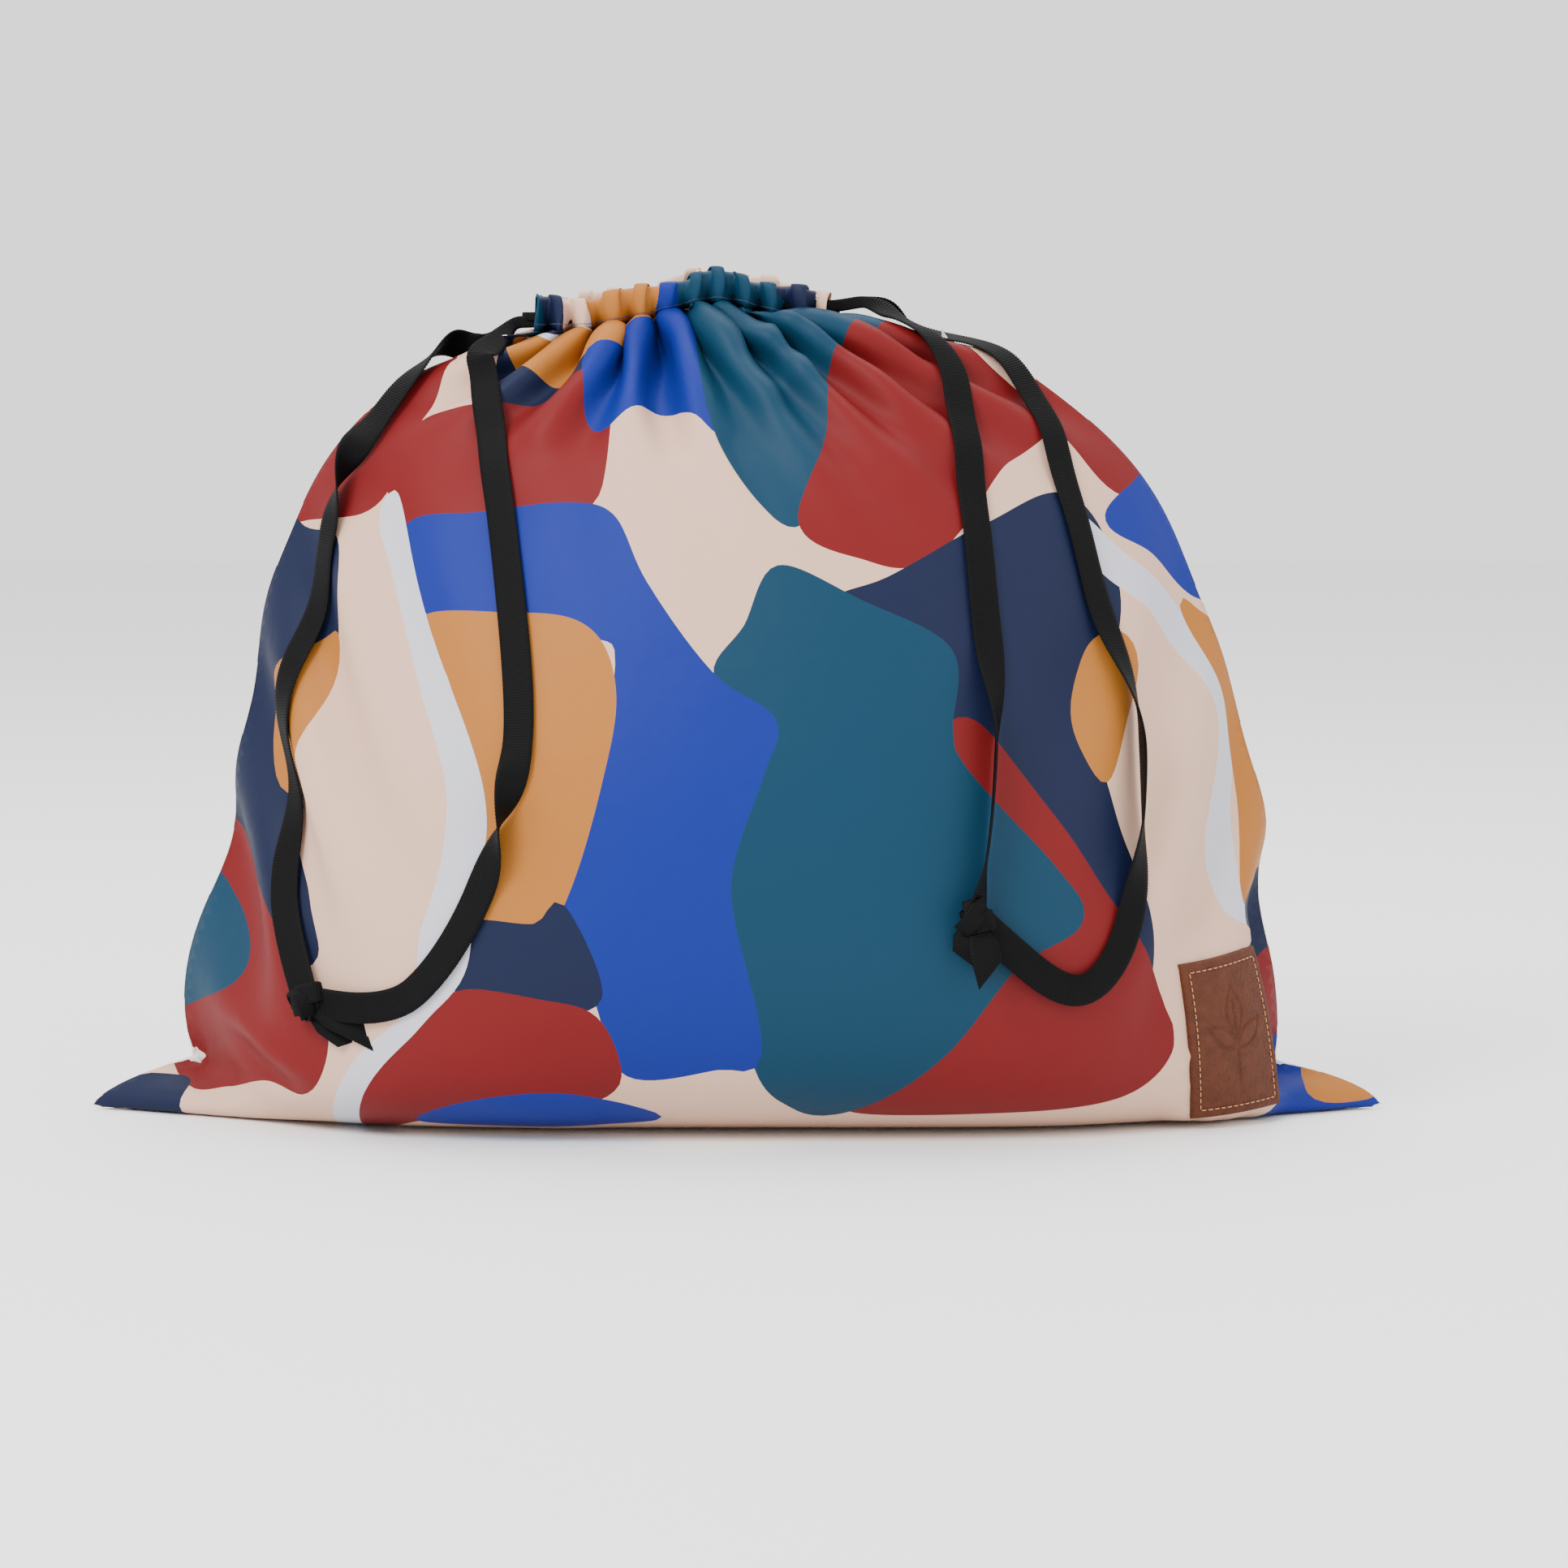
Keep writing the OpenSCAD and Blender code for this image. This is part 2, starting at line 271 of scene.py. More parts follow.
def grid_normals(p):
    """Outward directions of both panels' grids."""
    along = np.gradient(p, axis=2)
    up = np.gradient(p, axis=1)
    n = np.cross(along, up)
    n /= np.maximum(np.linalg.norm(n, axis=-1, keepdims=True), 1e-9)
    n[1] *= -1
    return n


def metric(target):
    """Rest lengths of the cloth: those of the filled-out shape and some more, so that it wrinkles."""
    s, v = np.meshgrid(S, V)
    by_the_seams = 0.05 * ease((np.abs(s) - 0.8) / 0.2) * ease((0.75 - v) / 0.2)
    spare = 0.010 + by_the_seams + 0.02 * ease((v - 0.6) / 0.3)
    across = np.linalg.norm(np.diff(target, axis=2), axis=-1)
    upward = np.linalg.norm(np.diff(target, axis=1), axis=-1)
    wide = across * (1 + (spare[:, 1:] + spare[:, :-1]) / 2)
    gather = ease((v - 0.72) / 0.28)[:, 1:]
    wide = wide + gather * np.maximum(0.72 * CELL_X - wide, 0)
    tall = upward * (1 + (spare[1:] + spare[:-1]) / 2)
    return wide[..., None], tall[..., None]


def drape(steps=260, passes=5):
    """Lets both panels settle: pressure from inside, gravity, the floor, the seams and the gathered mouth."""
    target = cloth_target()
    wide, tall = metric(target)
    slant = np.sqrt(wide[:, :-1] ** 2 + tall[:, :, :-1] ** 2)
    p = target.copy()
    noise = smoothing(ROWS, 3) @ rng.normal(0, 1, p.shape[:3]) @ smoothing(COLS, 3).T
    p += grid_normals(p) * (FIRST_CREASES * noise / noise.std())[..., None]
    rim = np.array([pleated(S, side) for side in (FRONT, BACK)])
    rise = ease((V - 0.80) / 0.2)[None, :, None, None]
    p += rise * (rim[:, None] - target[:, -1:])
    wide_rows, wide_cols = smoothing(ROWS, 7), smoothing(COLS, 7)
    speed = np.zeros_like(p)
    for step in range(steps):
        share = 1 - step / steps
        speed *= KEEP_SPEED
        speed += PRESSURE * grid_normals(p) * (0.4 + 0.6 * share)
        speed[..., 2] -= WEIGHT
        before = p.copy()
        p = p + speed
        for _ in range(passes):
            for k in (0, 1):
                pull_pairs(p[:, :, k:-1:2], p[:, :, k + 1 :: 2], wide[:, :, k::2], 0.9)
                pull_pairs(p[:, k:-1:2], p[:, k + 1 :: 2], tall[:, k::2], 0.9)
            for k in (0, 1):
                pull_pairs(p[:, k:-1:2, :-1], p[:, k + 1 :: 2, 1:], slant[:, k::2], 0.25)
                pull_pairs(p[:, k:-1:2, 1:], p[:, k + 1 :: 2, :-1], slant[:, k::2], 0.25)
            for gap, strength in ((2, 0.10), (4, 0.05)):
                for k in range(gap):
                    bend(p, 2, k, gap, strength)
                    bend(p, 1, k, gap, strength)
            hold(p, rim)
        drift = wide_rows @ np.moveaxis(target - p, 3, 1) @ wide_cols.T
        p += PULL_TO_SHAPE * np.moveaxis(drift, 1, 3)
        hold(p, rim)
        speed = np.clip(p - before, -TOP_SPEED, TOP_SPEED)
    return p


def bend(p, axis, k, gap, strength):
    """Pushes the middle of each stretch of cloth towards the line between its ends."""
    q = np.moveaxis(p, axis, 1)
    a, m, b = q[:, k : -gap : gap], q[:, k + gap // 2 : -gap + gap // 2 or None : gap], q[:, k + gap :: gap]
    n = min(a.shape[1], m.shape[1], b.shape[1])
    a, m, b = a[:, :n], m[:, :n], b[:, :n]
    off = (a + b) / 2 - m
    m += strength * off
    a -= strength * off / 2
    b -= strength * off / 2


def hold(p, rim):
    """Keeps the floor, the seams and the pinned rim."""
    sewn = int(VENT_V * (ROWS - 1)) + 1
    p[0, 1:, :, 1] = np.minimum(p[0, 1:, :, 1], -SIDE_GAP)
    p[1, 1:, :, 1] = np.maximum(p[1, 1:, :, 1], SIDE_GAP)
    p[..., 2] = np.maximum(p[..., 2], FLOOR_GAP)
    for j in (0, -1):
        p[:, :sewn, j] = p[:, :sewn, j].mean(0)
    p[:, 0] = p[:, 0].mean(0)
    p[:, 0, :, 1] = 0
    p[:, -1] = rim


# Large folds of the front panel under the gathers and by the corners: a line of (x, z) in millimetres on the
# filled sack, how far the cloth stands out there, and how wide the fold is
FOLDS = [
    ([(-34, 396), (-48, 388), (-58, 378), (-72, 358), (-92, 336)], 6.5, 10),
    ([(-36, 390), (-38, 372), (-38, 352), (-30, 330)], -6.5, 8),
    ([(-20, 398), (-22, 380), (-14, 360), (-4, 345)], 4.0, 8),
    ([(-16, 394), (-6, 384), (8, 379), (22, 384), (30, 396)], 5.5, 6),
    ([(-10, 384), (0, 368), (16, 356), (32, 366), (38, 382)], 3.5, 7),
    ([(20, 402), (36, 390), (56, 384), (80, 378)], 5.5, 8),
    ([(-27, 380), (-14, 352), (2, 325), (18, 298)], -3.0, 5),
    ([(60, 378), (74, 350), (88, 318)], 2.5, 9),
    ([(-75, 368), (-98, 352), (-120, 340)], -4.0, 7),
    ([(-246, 42), (-232, 32), (-214, 22)], -4.0, 5),
    ([(-240, 52), (-224, 40), (-206, 32)], 3.5, 6),
    ([(-150, 60), (-120, 30), (-80, 14)], 2.0, 14),
    ([(262, 44), (276, 22), (292, 12)], 3.0, 7),
    ([(-205, 250), (-190, 200), (-188, 150)], -2.5, 12),
]


def add_folds(cloth):
    """Pushes the folds out of the front panel, or into it, along the cloth's own outward direction."""
    n = grid_normals(cloth)[0]
    n = np.moveaxis(smoothing(ROWS, 4) @ np.moveaxis(n, 2, 0) @ smoothing(COLS, 4).T, 0, 2)
    where = cloth[0][..., [0, 2]] / MM
    move = np.zeros(where.shape[:2])
    t = np.linspace(0, 1, 60)
    fade = np.sin(np.pi * np.clip(0.12 + 0.76 * t, 0, 1)) ** 0.7
    for line, height, width in FOLDS:
        gap = np.sqrt(((where[:, :, None] - smooth_curve(line, t)) ** 2).sum(-1))
        move += height * fade[gap.argmin(-1)] * np.exp(-((gap.min(-1) / width) ** 2))
    move *= ease((1 - V) / 0.05)[:, None] * ease((1 - np.abs(S)) / 0.06)[None, :]
    cloth[0] += MM * move[..., None] * unit(n)
    cloth[0, :, :, 2] = np.maximum(cloth[0, :, :, 2], FLOOR_GAP)


# ---------------------------------------------------------------- materials

def srgb(r, g, b):
    """Linear colour from the 0 to 255 values of a screen."""
    out = []
    for c in (r, g, b):
        c = c / 255
        out.append(c / 12.92 if c <= 0.04045 else ((c + 0.055) / 1.055) ** 2.4)
    return (*out, 1.0)


def new_material(name, colour, roughness, **sockets):
    material = bpy.data.materials.new(name)
    material.use_nodes = True
    shader = material.node_tree.nodes["Principled BSDF"]
    shader.inputs["Base Color"].default_value = colour
    shader.inputs["Roughness"].default_value = roughness
    for key, value in sockets.items():
        shader.inputs[key.replace("_", " ")].default_value = value
    return material


def add_bump(material, layers, strength=1.0):
    """Chains noise bumps onto a material; each layer is (scale per metre, detail, height in metres)."""
    nodes, links = material.node_tree.nodes, material.node_tree.links
    where = nodes.new("ShaderNodeTexCoord")
    last = None
    for scale, detail, height in layers:
        noise = nodes.new("ShaderNodeTexNoise")
        noise.inputs["Scale"].default_value = scale
        noise.inputs["Detail"].default_value = detail
        links.new(where.outputs["Object"], noise.inputs["Vector"])
        bump = nodes.new("ShaderNodeBump")
        bump.inputs["Strength"].default_value = strength
        bump.inputs["Distance"].default_value = height
        links.new(noise.outputs["Fac"], bump.inputs["Height"])
        if last:
            links.new(last.outputs["Normal"], bump.inputs["Normal"])
        last = bump
    links.new(last.outputs["Normal"], nodes["Principled BSDF"].inputs["Normal"])
    return material


PRINT_COLOURS = {
    "blush": (202, 166, 144),
    "red": (102, 16, 18),
    "cobalt": (14, 32, 118),
    "navy": (13, 22, 50),
    "teal": (9, 49, 71),
    "ochre": (158, 98, 38),
    "grey": (186, 186, 196),
}
COLOUR_NAMES = list(PRINT_COLOURS)
# Soft undulation of the cloth and its weave: scale per metre, detail and height of each
CREASES = (38, 3, 0.0016)
WEAVE = (1500, 2, 0.00006)
RIBBON_WEAVE = (2600, 2, 0.00005)
LEATHER_DARK = srgb(70, 31, 12)
LEATHER_LIGHT = srgb(83, 39, 17)


def cloth_materials():
    """One for each colour of the print, and the pale reverse of the cloth."""
    made = []
    for name, colour in PRINT_COLOURS.items():
        material = new_material("cloth_" + name, srgb(*colour), 0.56, Specular_IOR_Level=0.16)
        made.append(add_bump(material, [CREASES, WEAVE], 0.5))
    reverse = new_material("cloth_reverse", srgb(224, 214, 206), 0.7, Sheen_Weight=0.1)
    made.append(add_bump(reverse, [WEAVE], 0.5))
    return made


def ribbon_material():
    material = new_material("black_grosgrain", srgb(6, 6, 7), 0.6, Specular_IOR_Level=0.09)
    return add_bump(material, [RIBBON_WEAVE], 0.6)


def leather_material():
    """Fine pebbled grain, mottled between two browns."""
    leather = new_material("tan_leather", srgb(76, 35, 14), 0.6, Specular_IOR_Level=0.22)
    nodes, links = leather.node_tree.nodes, leather.node_tree.links
    shader = nodes["Principled BSDF"]
    where = nodes.new("ShaderNodeTexCoord")
    cells = nodes.new("ShaderNodeTexVoronoi")
    cells.inputs["Scale"].default_value = 900
    links.new(where.outputs["Object"], cells.inputs["Vector"])
    bump = nodes.new("ShaderNodeBump")
    bump.inputs["Strength"].default_value = 0.8
    bump.inputs["Distance"].default_value = 0.0005
    links.new(cells.outputs["Distance"], bump.inputs["Height"])
    links.new(bump.outputs["Normal"], shader.inputs["Normal"])
    shade = nodes.new("ShaderNodeTexNoise")
    shade.inputs["Scale"].default_value = 160
    shade.inputs["Detail"].default_value = 5
    links.new(where.outputs["Object"], shade.inputs["Vector"])
    ramp = nodes.new("ShaderNodeValToRGB")
    for stop, place, colour in zip(ramp.color_ramp.elements, (0.3, 0.7), (LEATHER_DARK, LEATHER_LIGHT)):
        stop.position = place
        stop.color = colour
    links.new(shade.outputs["Fac"], ramp.inputs["Fac"])
    links.new(ramp.outputs["Color"], shader.inputs["Base Color"])
    return leather


CLOTH = cloth_materials()
REVERSE = len(CLOTH) - 1
RIBBON = ribbon_material()
WHITE_THREAD = new_material("white_thread", srgb(236, 236, 232), 0.6, Sheen_Weight=0.2)
NAVY_THREAD = new_material("navy_thread", srgb(34, 46, 92), 0.6, Sheen_Weight=0.2)
TAN_THREAD = new_material("tan_thread", srgb(168, 116, 72), 0.55, Sheen_Weight=0.2)


# ---------------------------------------------------------------- making meshes

def mesh_object(name, points, faces, materials, face_materials=None, smooth=True):
    """Object from points and faces (an array of equal faces or a list), one material index per face."""
    mesh = bpy.data.meshes.new(name)
    points = np.asarray(points, float).reshape(-1, 3)
    faces = [np.asarray(f) for f in faces] if isinstance(faces, list) else np.asarray(faces)
    sizes = np.array([len(f) for f in faces])
    mesh.vertices.add(len(points))
    mesh.vertices.foreach_set("co", points.astype(np.float32).ravel())
    mesh.loops.add(int(sizes.sum()))
    mesh.loops.foreach_set("vertex_index", np.concatenate([np.ravel(f) for f in faces]).astype(np.int32))
    mesh.polygons.add(len(sizes))
    starts = np.concatenate([[0], np.cumsum(sizes)[:-1]])
    mesh.polygons.foreach_set("loop_start", starts.astype(np.int32))
    if face_materials is not None:
        mesh.polygons.foreach_set("material_index", np.asarray(face_materials, np.int32))
    mesh.polygons.foreach_set("use_smooth", np.full(len(sizes), smooth))
    mesh.update(calc_edges=True)
    mesh.validate()
    for m in materials if isinstance(materials, list) else [materials]:
        mesh.materials.append(m)
    obj = bpy.data.objects.new(name, mesh)
    bpy.context.collection.objects.link(obj)
    return obj


def grid_faces(rows, cols, wrap=False):
    """Quads of a rows by cols grid of points; wrap joins the last column to the first."""
    i, j = np.meshgrid(np.arange(rows - 1), np.arange(cols if wrap else cols - 1), indexing="ij")
    k = (j + 1) % cols
    return np.stack([i * cols + j, i * cols + k, (i + 1) * cols + k, (i + 1) * cols + j], -1).reshape(-1, 4)


def vertex_normals(points, triangles):
    a, b, c = (points[triangles[:, i]] for i in range(3))
    face = np.cross(b - a, c - a)
    n = np.zeros_like(points)
    for i in range(3):
        np.add.at(n, triangles[:, i], face)
    return n / np.maximum(np.linalg.norm(n, axis=1, keepdims=True), 1e-12)


def fit(obj, node, body="sack"):
    """Puts obj in the place of a node of the CAD, on one of its bodies."""
    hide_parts(node)
    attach(obj, body)
    return obj


def tube(name, rings, material):
    """Closed strip through rings of points, (rings, points, 3), with flat ends."""
    count, sides = rings.shape[:2]
    quads = grid_faces(count, sides, wrap=True)
    caps = [np.arange(sides), np.arange(sides)[::-1] + (count - 1) * sides]
    return mesh_object(name, rings, list(quads) + caps, material)


def join(name, pieces):
    """One object from several, each of one material."""
    points, faces, marks, materials, base = [], [], [], [], 0
    for piece in pieces:
        mesh = piece.data
        if mesh.materials[0] not in materials:
            materials.append(mesh.materials[0])
        mark = materials.index(mesh.materials[0])
        place = np.empty(len(mesh.vertices) * 3)
        mesh.vertices.foreach_get("co", place)
        points.append(place.reshape(-1, 3))
        faces.extend([np.array(polygon.vertices) + base for polygon in mesh.polygons])
        marks.extend([mark] * len(mesh.polygons))
        base += len(mesh.vertices)
        bpy.data.objects.remove(piece)
    return mesh_object(name, np.concatenate(points), faces, materials, marks)


# ---------------------------------------------------------------- the print, in millimetres on the flat panel

FRONT_PRINT = [
    ("red", [(-350, 330), (-318, 350), (-278, 372), (-270, 400), (-290, 440), (-330, 468), (-360, 400)]),
    ("navy", [(-340, 500), (-300, 505), (-255, 462), (-225, 452), (-140, 470), (-128, 500), (-180, 530),
        (-250, 560), (-290, 610), (-250, 610), (-340, 620)]),
    ("blush", [(-243, 610), (-250, 560), (-200, 532), (-170, 545), (-178, 610)]),
    ("ochre", [(-176, 620), (-178, 560), (-240, 545), (-318, 520), (-250, 486), (-190, 484), (-148, 500),
        (-90, 522), (-50, 560), (-45, 620)]),
    ("grey", [(-330, 540), (-290, 520), (-240, 532), (-200, 538), (-215, 560), (-280, 560)]),
    ("teal", [(-335, 620), (-335, 575), (-305, 570), (-290, 620)]),
    ("red", [(-276, 430), (-268, 392), (-240, 378), (-170, 396), (-112, 408), (-104, 430), (-116, 468),
        (-136, 482), (-200, 462), (-240, 447)]),
    ("cobalt", [(-47, 620), (-50, 560), (-90, 520), (-150, 500), (-150, 478), (-120, 452), (-70, 470),
        (-30, 462), (-8, 452), (-14, 490), (-4, 540), (8, 620)]),
    ("teal", [(8, 620), (-2, 540), (-16, 490), (-8, 448), (22, 414), (48, 404), (90, 440), (140, 476),
        (240, 500), (320, 500), (330, 520), (240, 545), (190, 620)]),
    ("navy", [(190, 620), (215, 565), (262, 540), (300, 545), (262, 620)]),
    ("red", [(48, 404), (85, 386), (130, 382), (215, 418), (290, 432), (308, 470), (330, 500), (240, 504),
        (140, 482), (90, 446)]),
    ("red", [(300, 440), (290, 410), (300, 385), (350, 370), (350, 440)]),
    ("cobalt", [(276, 376), (300, 352), (325, 318), (350, 305), (350, 378), (310, 384)]),
    ("navy", [(255, 394), (175, 390), (100, 372), (66, 362), (128, 338), (126, 298), (150, 262), (196, 200),
        (222, 160), (222, 210), (212, 262), (205, 296), (236, 312), (262, 346)]),
    ("red", [(124, 300), (122, 284), (160, 240), (182, 204), (150, 188), (105, 150), (58, 106), (138, 102),
        (205, 106), (236, 122), (232, 150), (200, 210), (160, 275), (140, 300)]),
    ("teal", [(28, 380), (6, 352), (-12, 330), (18, 308), (8, 280), (-10, 240), (-10, 208), (10, 140),
        (28, 112), (50, 102), (100, 140), (140, 185), (182, 202), (170, 228), (128, 280), (124, 300),
        (132, 336), (80, 362)]),
    ("cobalt", [(-240, 374), (-200, 342), (-130, 352), (-90, 348), (-72, 334), (-84, 255), (-100, 220),
        (-74, 172), (-50, 132), (-8, 136), (10, 142), (-8, 208), (-8, 240), (12, 284), (20, 308),
        (-14, 328), (-60, 372), (-90, 404), (-130, 406), (-190, 394)]),
    ("ochre", [(-206, 338), (-180, 318), (-162, 290), (-146, 255), (-150, 226), (-142, 200), (-110, 203),
        (-96, 226), (-80, 275), (-74, 318), (-90, 346), (-130, 352)]),
    ("navy", [(-150, 202), (-112, 206), (-98, 216), (-74, 172), (-104, 166), (-146, 168)]),
    ("red", [(-146, 170), (-104, 168), (-74, 160), (-56, 130), (-68, 114), (-100, 112), (-160, 84),
        (-196, 22), (-190, 110), (-166, 152)]),
    ("grey", [(-262, 388), (-240, 374), (-206, 338), (-162, 290), (-146, 255), (-150, 215), (-150, 180),
        (-166, 153), (-188, 112), (-192, 26), (-202, 75), (-196, 125), (-172, 160), (-176, 196),
        (-166, 238), (-170, 272), (-200, 312), (-236, 352), (-262, 374)]),
    ("navy", [(-350, 346), (-318, 342), (-284, 350), (-274, 310), (-288, 222), (-262, 186), (-244, 166),
        (-262, 160), (-330, 184), (-350, 260)]),
    ("ochre", [(-274, 308), (-270, 282), (-276, 252), (-294, 222), (-308, 238), (-306, 266), (-290, 290)]),
    ("red", [(-350, 180), (-296, 174), (-258, 158), (-224, 140), (-216, 118), (-226, 98), (-256, 92),
        (-286, 62), (-304, 44), (-350, 60)]),
    ("teal", [(-350, 160), (-318, 152), (-296, 134), (-308, 108), (-350, 78)]),
    ("navy", [(-350, -20), (-328, 16), (-312, 42), (-290, 26), (-268, 12), (-232, 34), (-230, -20)]),
    ("cobalt", [(-152, 88), (-126, 112), (-86, 118), (-48, 108), (-36, 94), (-90, 84)]),
    ("grey", [(255, 384), (276, 356), (304, 322), (316, 282), (315, 238), (300, 204), (292, 176),
        (300, 158), (284, 172), (286, 204), (304, 232), (309, 255), (304, 286), (288, 320), (256, 356),
        (244, 378)]),
    ("ochre", [(312, 318), (326, 302), (350, 296), (350, 180), (322, 170), (304, 162), (296, 176),
        (314, 215), (318, 260)]),
    ("ochre", [(252, 322), (256, 306), (238, 286), (215, 262), (205, 280), (208, 300), (230, 322)]),
    ("navy", [(296, 166), (322, 168), (350, 150), (350, 118), (318, 120), (304, 140)]),
    ("red", [(318, 120), (350, 120), (350, 78), (310, 52), (300, 84)]),
    ("cobalt", [(296, 52), (350, 82), (350, -30), (250, -20), (262, 30)]),
    ("ochre", [(306, 30), (350, 40), (350, 8), (322, 10)]),
    ("teal", [(-345, 640), (-345, 537), (-302, 537), (-290, 600), (-294, 640)]),
    ("navy", [(-292, 640), (-300, 537), (-262, 537), (-248, 600), (-250, 640)]),
    ("blush", [(-248, 640), (-258, 537), (-215, 537), (-186, 600), (-182, 640)]),
    ("ochre", [(-180, 640), (-190, 540), (-130, 538), (-60, 540), (-47, 600), (-49, 640)]),
]


def closed_curve(points, step=4.0):
    """Smooth closed outline through a few points, cut every few millimetres."""
    points = np.array(points, float)
    n = len(points)
    out = []
    for k in range(n):
        a, b, c, d = (points[(k + i) % n] for i in (-1, 0, 1, 2))
        parts = max(2, int(np.linalg.norm(c - b) / step))
        out.append(between(a, b, c, d, (np.arange(parts) / parts)[:, None]))
    return np.concatenate(out)


def grown(outline, by):
    """Outline moved outwards, so that neighbouring colours overlap and leave no gap."""
    ahead = np.roll(outline, -1, 0) - np.roll(outline, 1, 0)
    area = (outline[:, 0] * np.roll(outline[:, 1], -1) - np.roll(outline[:, 0], -1) * outline[:, 1]).sum()
    out = np.stack([ahead[:, 1], -ahead[:, 0]], -1) * np.sign(area)
    return outline + by * out / np.maximum(np.linalg.norm(out, axis=1, keepdims=True), 1e-9)


# Each colour reaches this far under the next, so that no gap shows between them
OVERLAP = 2.2
OUTLINES = [(name, grown(closed_curve(points), OVERLAP)) for name, points in FRONT_PRINT]


def inside(points, outline):
    """Which points lie inside a closed outline."""
    x, y = points[:, 0:1], points[:, 1:2]
    a, b = outline, np.roll(outline, -1, 0)
    dy = b[:, 1] - a[:, 1]
    crosses = (a[:, 1] > y) != (b[:, 1] > y)
    at = a[:, 0] + (y - a[:, 1]) * (b[:, 0] - a[:, 0]) / np.where(dy == 0, 1e-9, dy)
    return (crosses & (x < at)).sum(1) % 2 == 1


def turned(flat, side):
    """Places in the print of places on a panel: the back panel has the print upside down."""
    return flat if side == FRONT else np.array([0, PANEL_H / MM]) - flat


def print_colour(flat, side):
    """Material index of the print at places on the flat panel, in millimetres."""
    where = turned(flat, side)
    colour = np.zeros(len(flat), int)
    for name, outline in OUTLINES:
        low, high = outline.min(0), outline.max(0)
        near = np.all((where >= low) & (where <= high), axis=1).nonzero()[0]
        if len(near):
            colour[near[inside(where[near], outline)]] = COLOUR_NAMES.index(name)
    return colour


# ---------------------------------------------------------------- panels

CLOTH_T = 0.0004
# Size of the panels' triangles, and the cells used to find close points, in millimetres
SPACING = 4.4
CELL = 4
CLEAR_OF_OUTLINES = 3.6
LINED_HEM = 25


def cubic(grid, rows, cols):
    """Smooth values between the points of a (rows, cols, 3) grid at fractional row and column numbers."""
    def weights(t, n):
        k = np.clip(np.floor(t).astype(int), 0, n - 2)
        f = t - k
        before, after = (-f + 2 * f**2 - f**3) / 2, (-(f**2) + f**3) / 2
        w = np.stack([before, (2 - 5 * f**2 + 3 * f**3) / 2, (f + 4 * f**2 - 3 * f**3) / 2, after], -1)
        return np.clip(k[:, None] + np.arange(-1, 3), 0, n - 1), w
    i, wi = weights(rows, grid.shape[0])
    j, wj = weights(cols, grid.shape[1])
    return np.einsum("na,nb,nabc->nc", wi, wj, grid[i[:, :, None], j[:, None, :]])


def on_cloth(cloth, side, flat):
    """Places on the draped panel of points given in millimetres on the flat panel."""
    s = np.clip(flat[:, 0] / (SACK_W / MM / 2), -1, 1)
    v = np.clip(flat[:, 1] / (PANEL_H / MM), 0, 1)
    return cubic(cloth[0 if side == FRONT else 1], v * (ROWS - 1), (s + 1) / 2 * (COLS - 1))


def staggered_points(half, high):
    """Rows of points over the flat panel, every other row shifted by half a step."""
    rows = int(high / (SPACING * 0.87))
    cols = int(2 * half / SPACING)
    points = []
    for i in range(1, rows):
        x = np.linspace(-half, half, cols + 1) + (i % 2) * SPACING / 2
        x = x[(x > -half + 1.5) & (x < half - 1.5)]
        points.append(np.stack([x, np.full(len(x), high * i / rows)], -1))
    return np.concatenate(points)


def clear_points(points, marks):
    """The points that are not too close to any of the marks."""
    cells = {}
    for q in marks:
        cells.setdefault((int(q[0] // CELL), int(q[1] // CELL)), []).append(q)
    keep = []
    for q in points:
        i, j = int(q[0] // CELL), int(q[1] // CELL)
        close = [r for a in (-1, 0, 1) for b in (-1, 0, 1) for r in cells.get((i + a, j + b), ())]
        gaps = [(q[0] - r[0]) ** 2 + (q[1] - r[1]) ** 2 for r in close]
        keep.append(not close or min(gaps) > CLEAR_OF_OUTLINES)
    return points[np.array(keep)]


def flat_triangles(side):
    """Triangles of the flat panel whose sides follow the outlines of the print."""
    half, high = SACK_W / MM / 2, PANEL_H / MM
    n, m = int(2 * half / SPACING), int(high / SPACING)
    rim = [(-half + 2 * half * k / n, 0) for k in range(n)]
    rim += [(half, high * k / m) for k in range(m)]
    rim += [(half - 2 * half * k / n, high) for k in range(n)]
    rim += [(-half, high - high * k / m) for k in range(m)]
    loops = [np.array(rim, float)]
    for _, outline in OUTLINES:
        loops.append(np.clip(turned(outline, side), (-half - 6, -6), (half + 6, high + 6)))
    lines, base = [], 0
    for loop in loops:
        lines += [(base + k, base + (k + 1) % len(loop)) for k in range(len(loop))]
        base += len(loop)
    inner = clear_points(staggered_points(half, high), np.concatenate(loops[1:]))
    found = delaunay_2d_cdt([Vector(q) for q in np.concatenate(loops + [inner])], lines, [], 0, 1e-4)
    verts = np.array([tuple(q) for q in found[0]])
    faces = np.array([f for f in found[2] if len(f) == 3])
    middle = verts[faces].mean(1)
    faces = faces[(np.abs(middle[:, 0]) < half) & (middle[:, 1] > 0) & (middle[:, 1] < high)]
    a, b, c = (verts[faces[:, k]] for k in range(3))
    area = (b[:, 0] - a[:, 0]) * (c[:, 1] - a[:, 1]) - (b[:, 1] - a[:, 1]) * (c[:, 0] - a[:, 0])
    faces, area = faces[np.abs(area) > 1e-4], area[np.abs(area) > 1e-4]
    faces[area < 0] = faces[area < 0][:, ::-1]
    used, back = np.unique(faces, return_inverse=True)
    return verts[used], back.reshape(-1, 3)


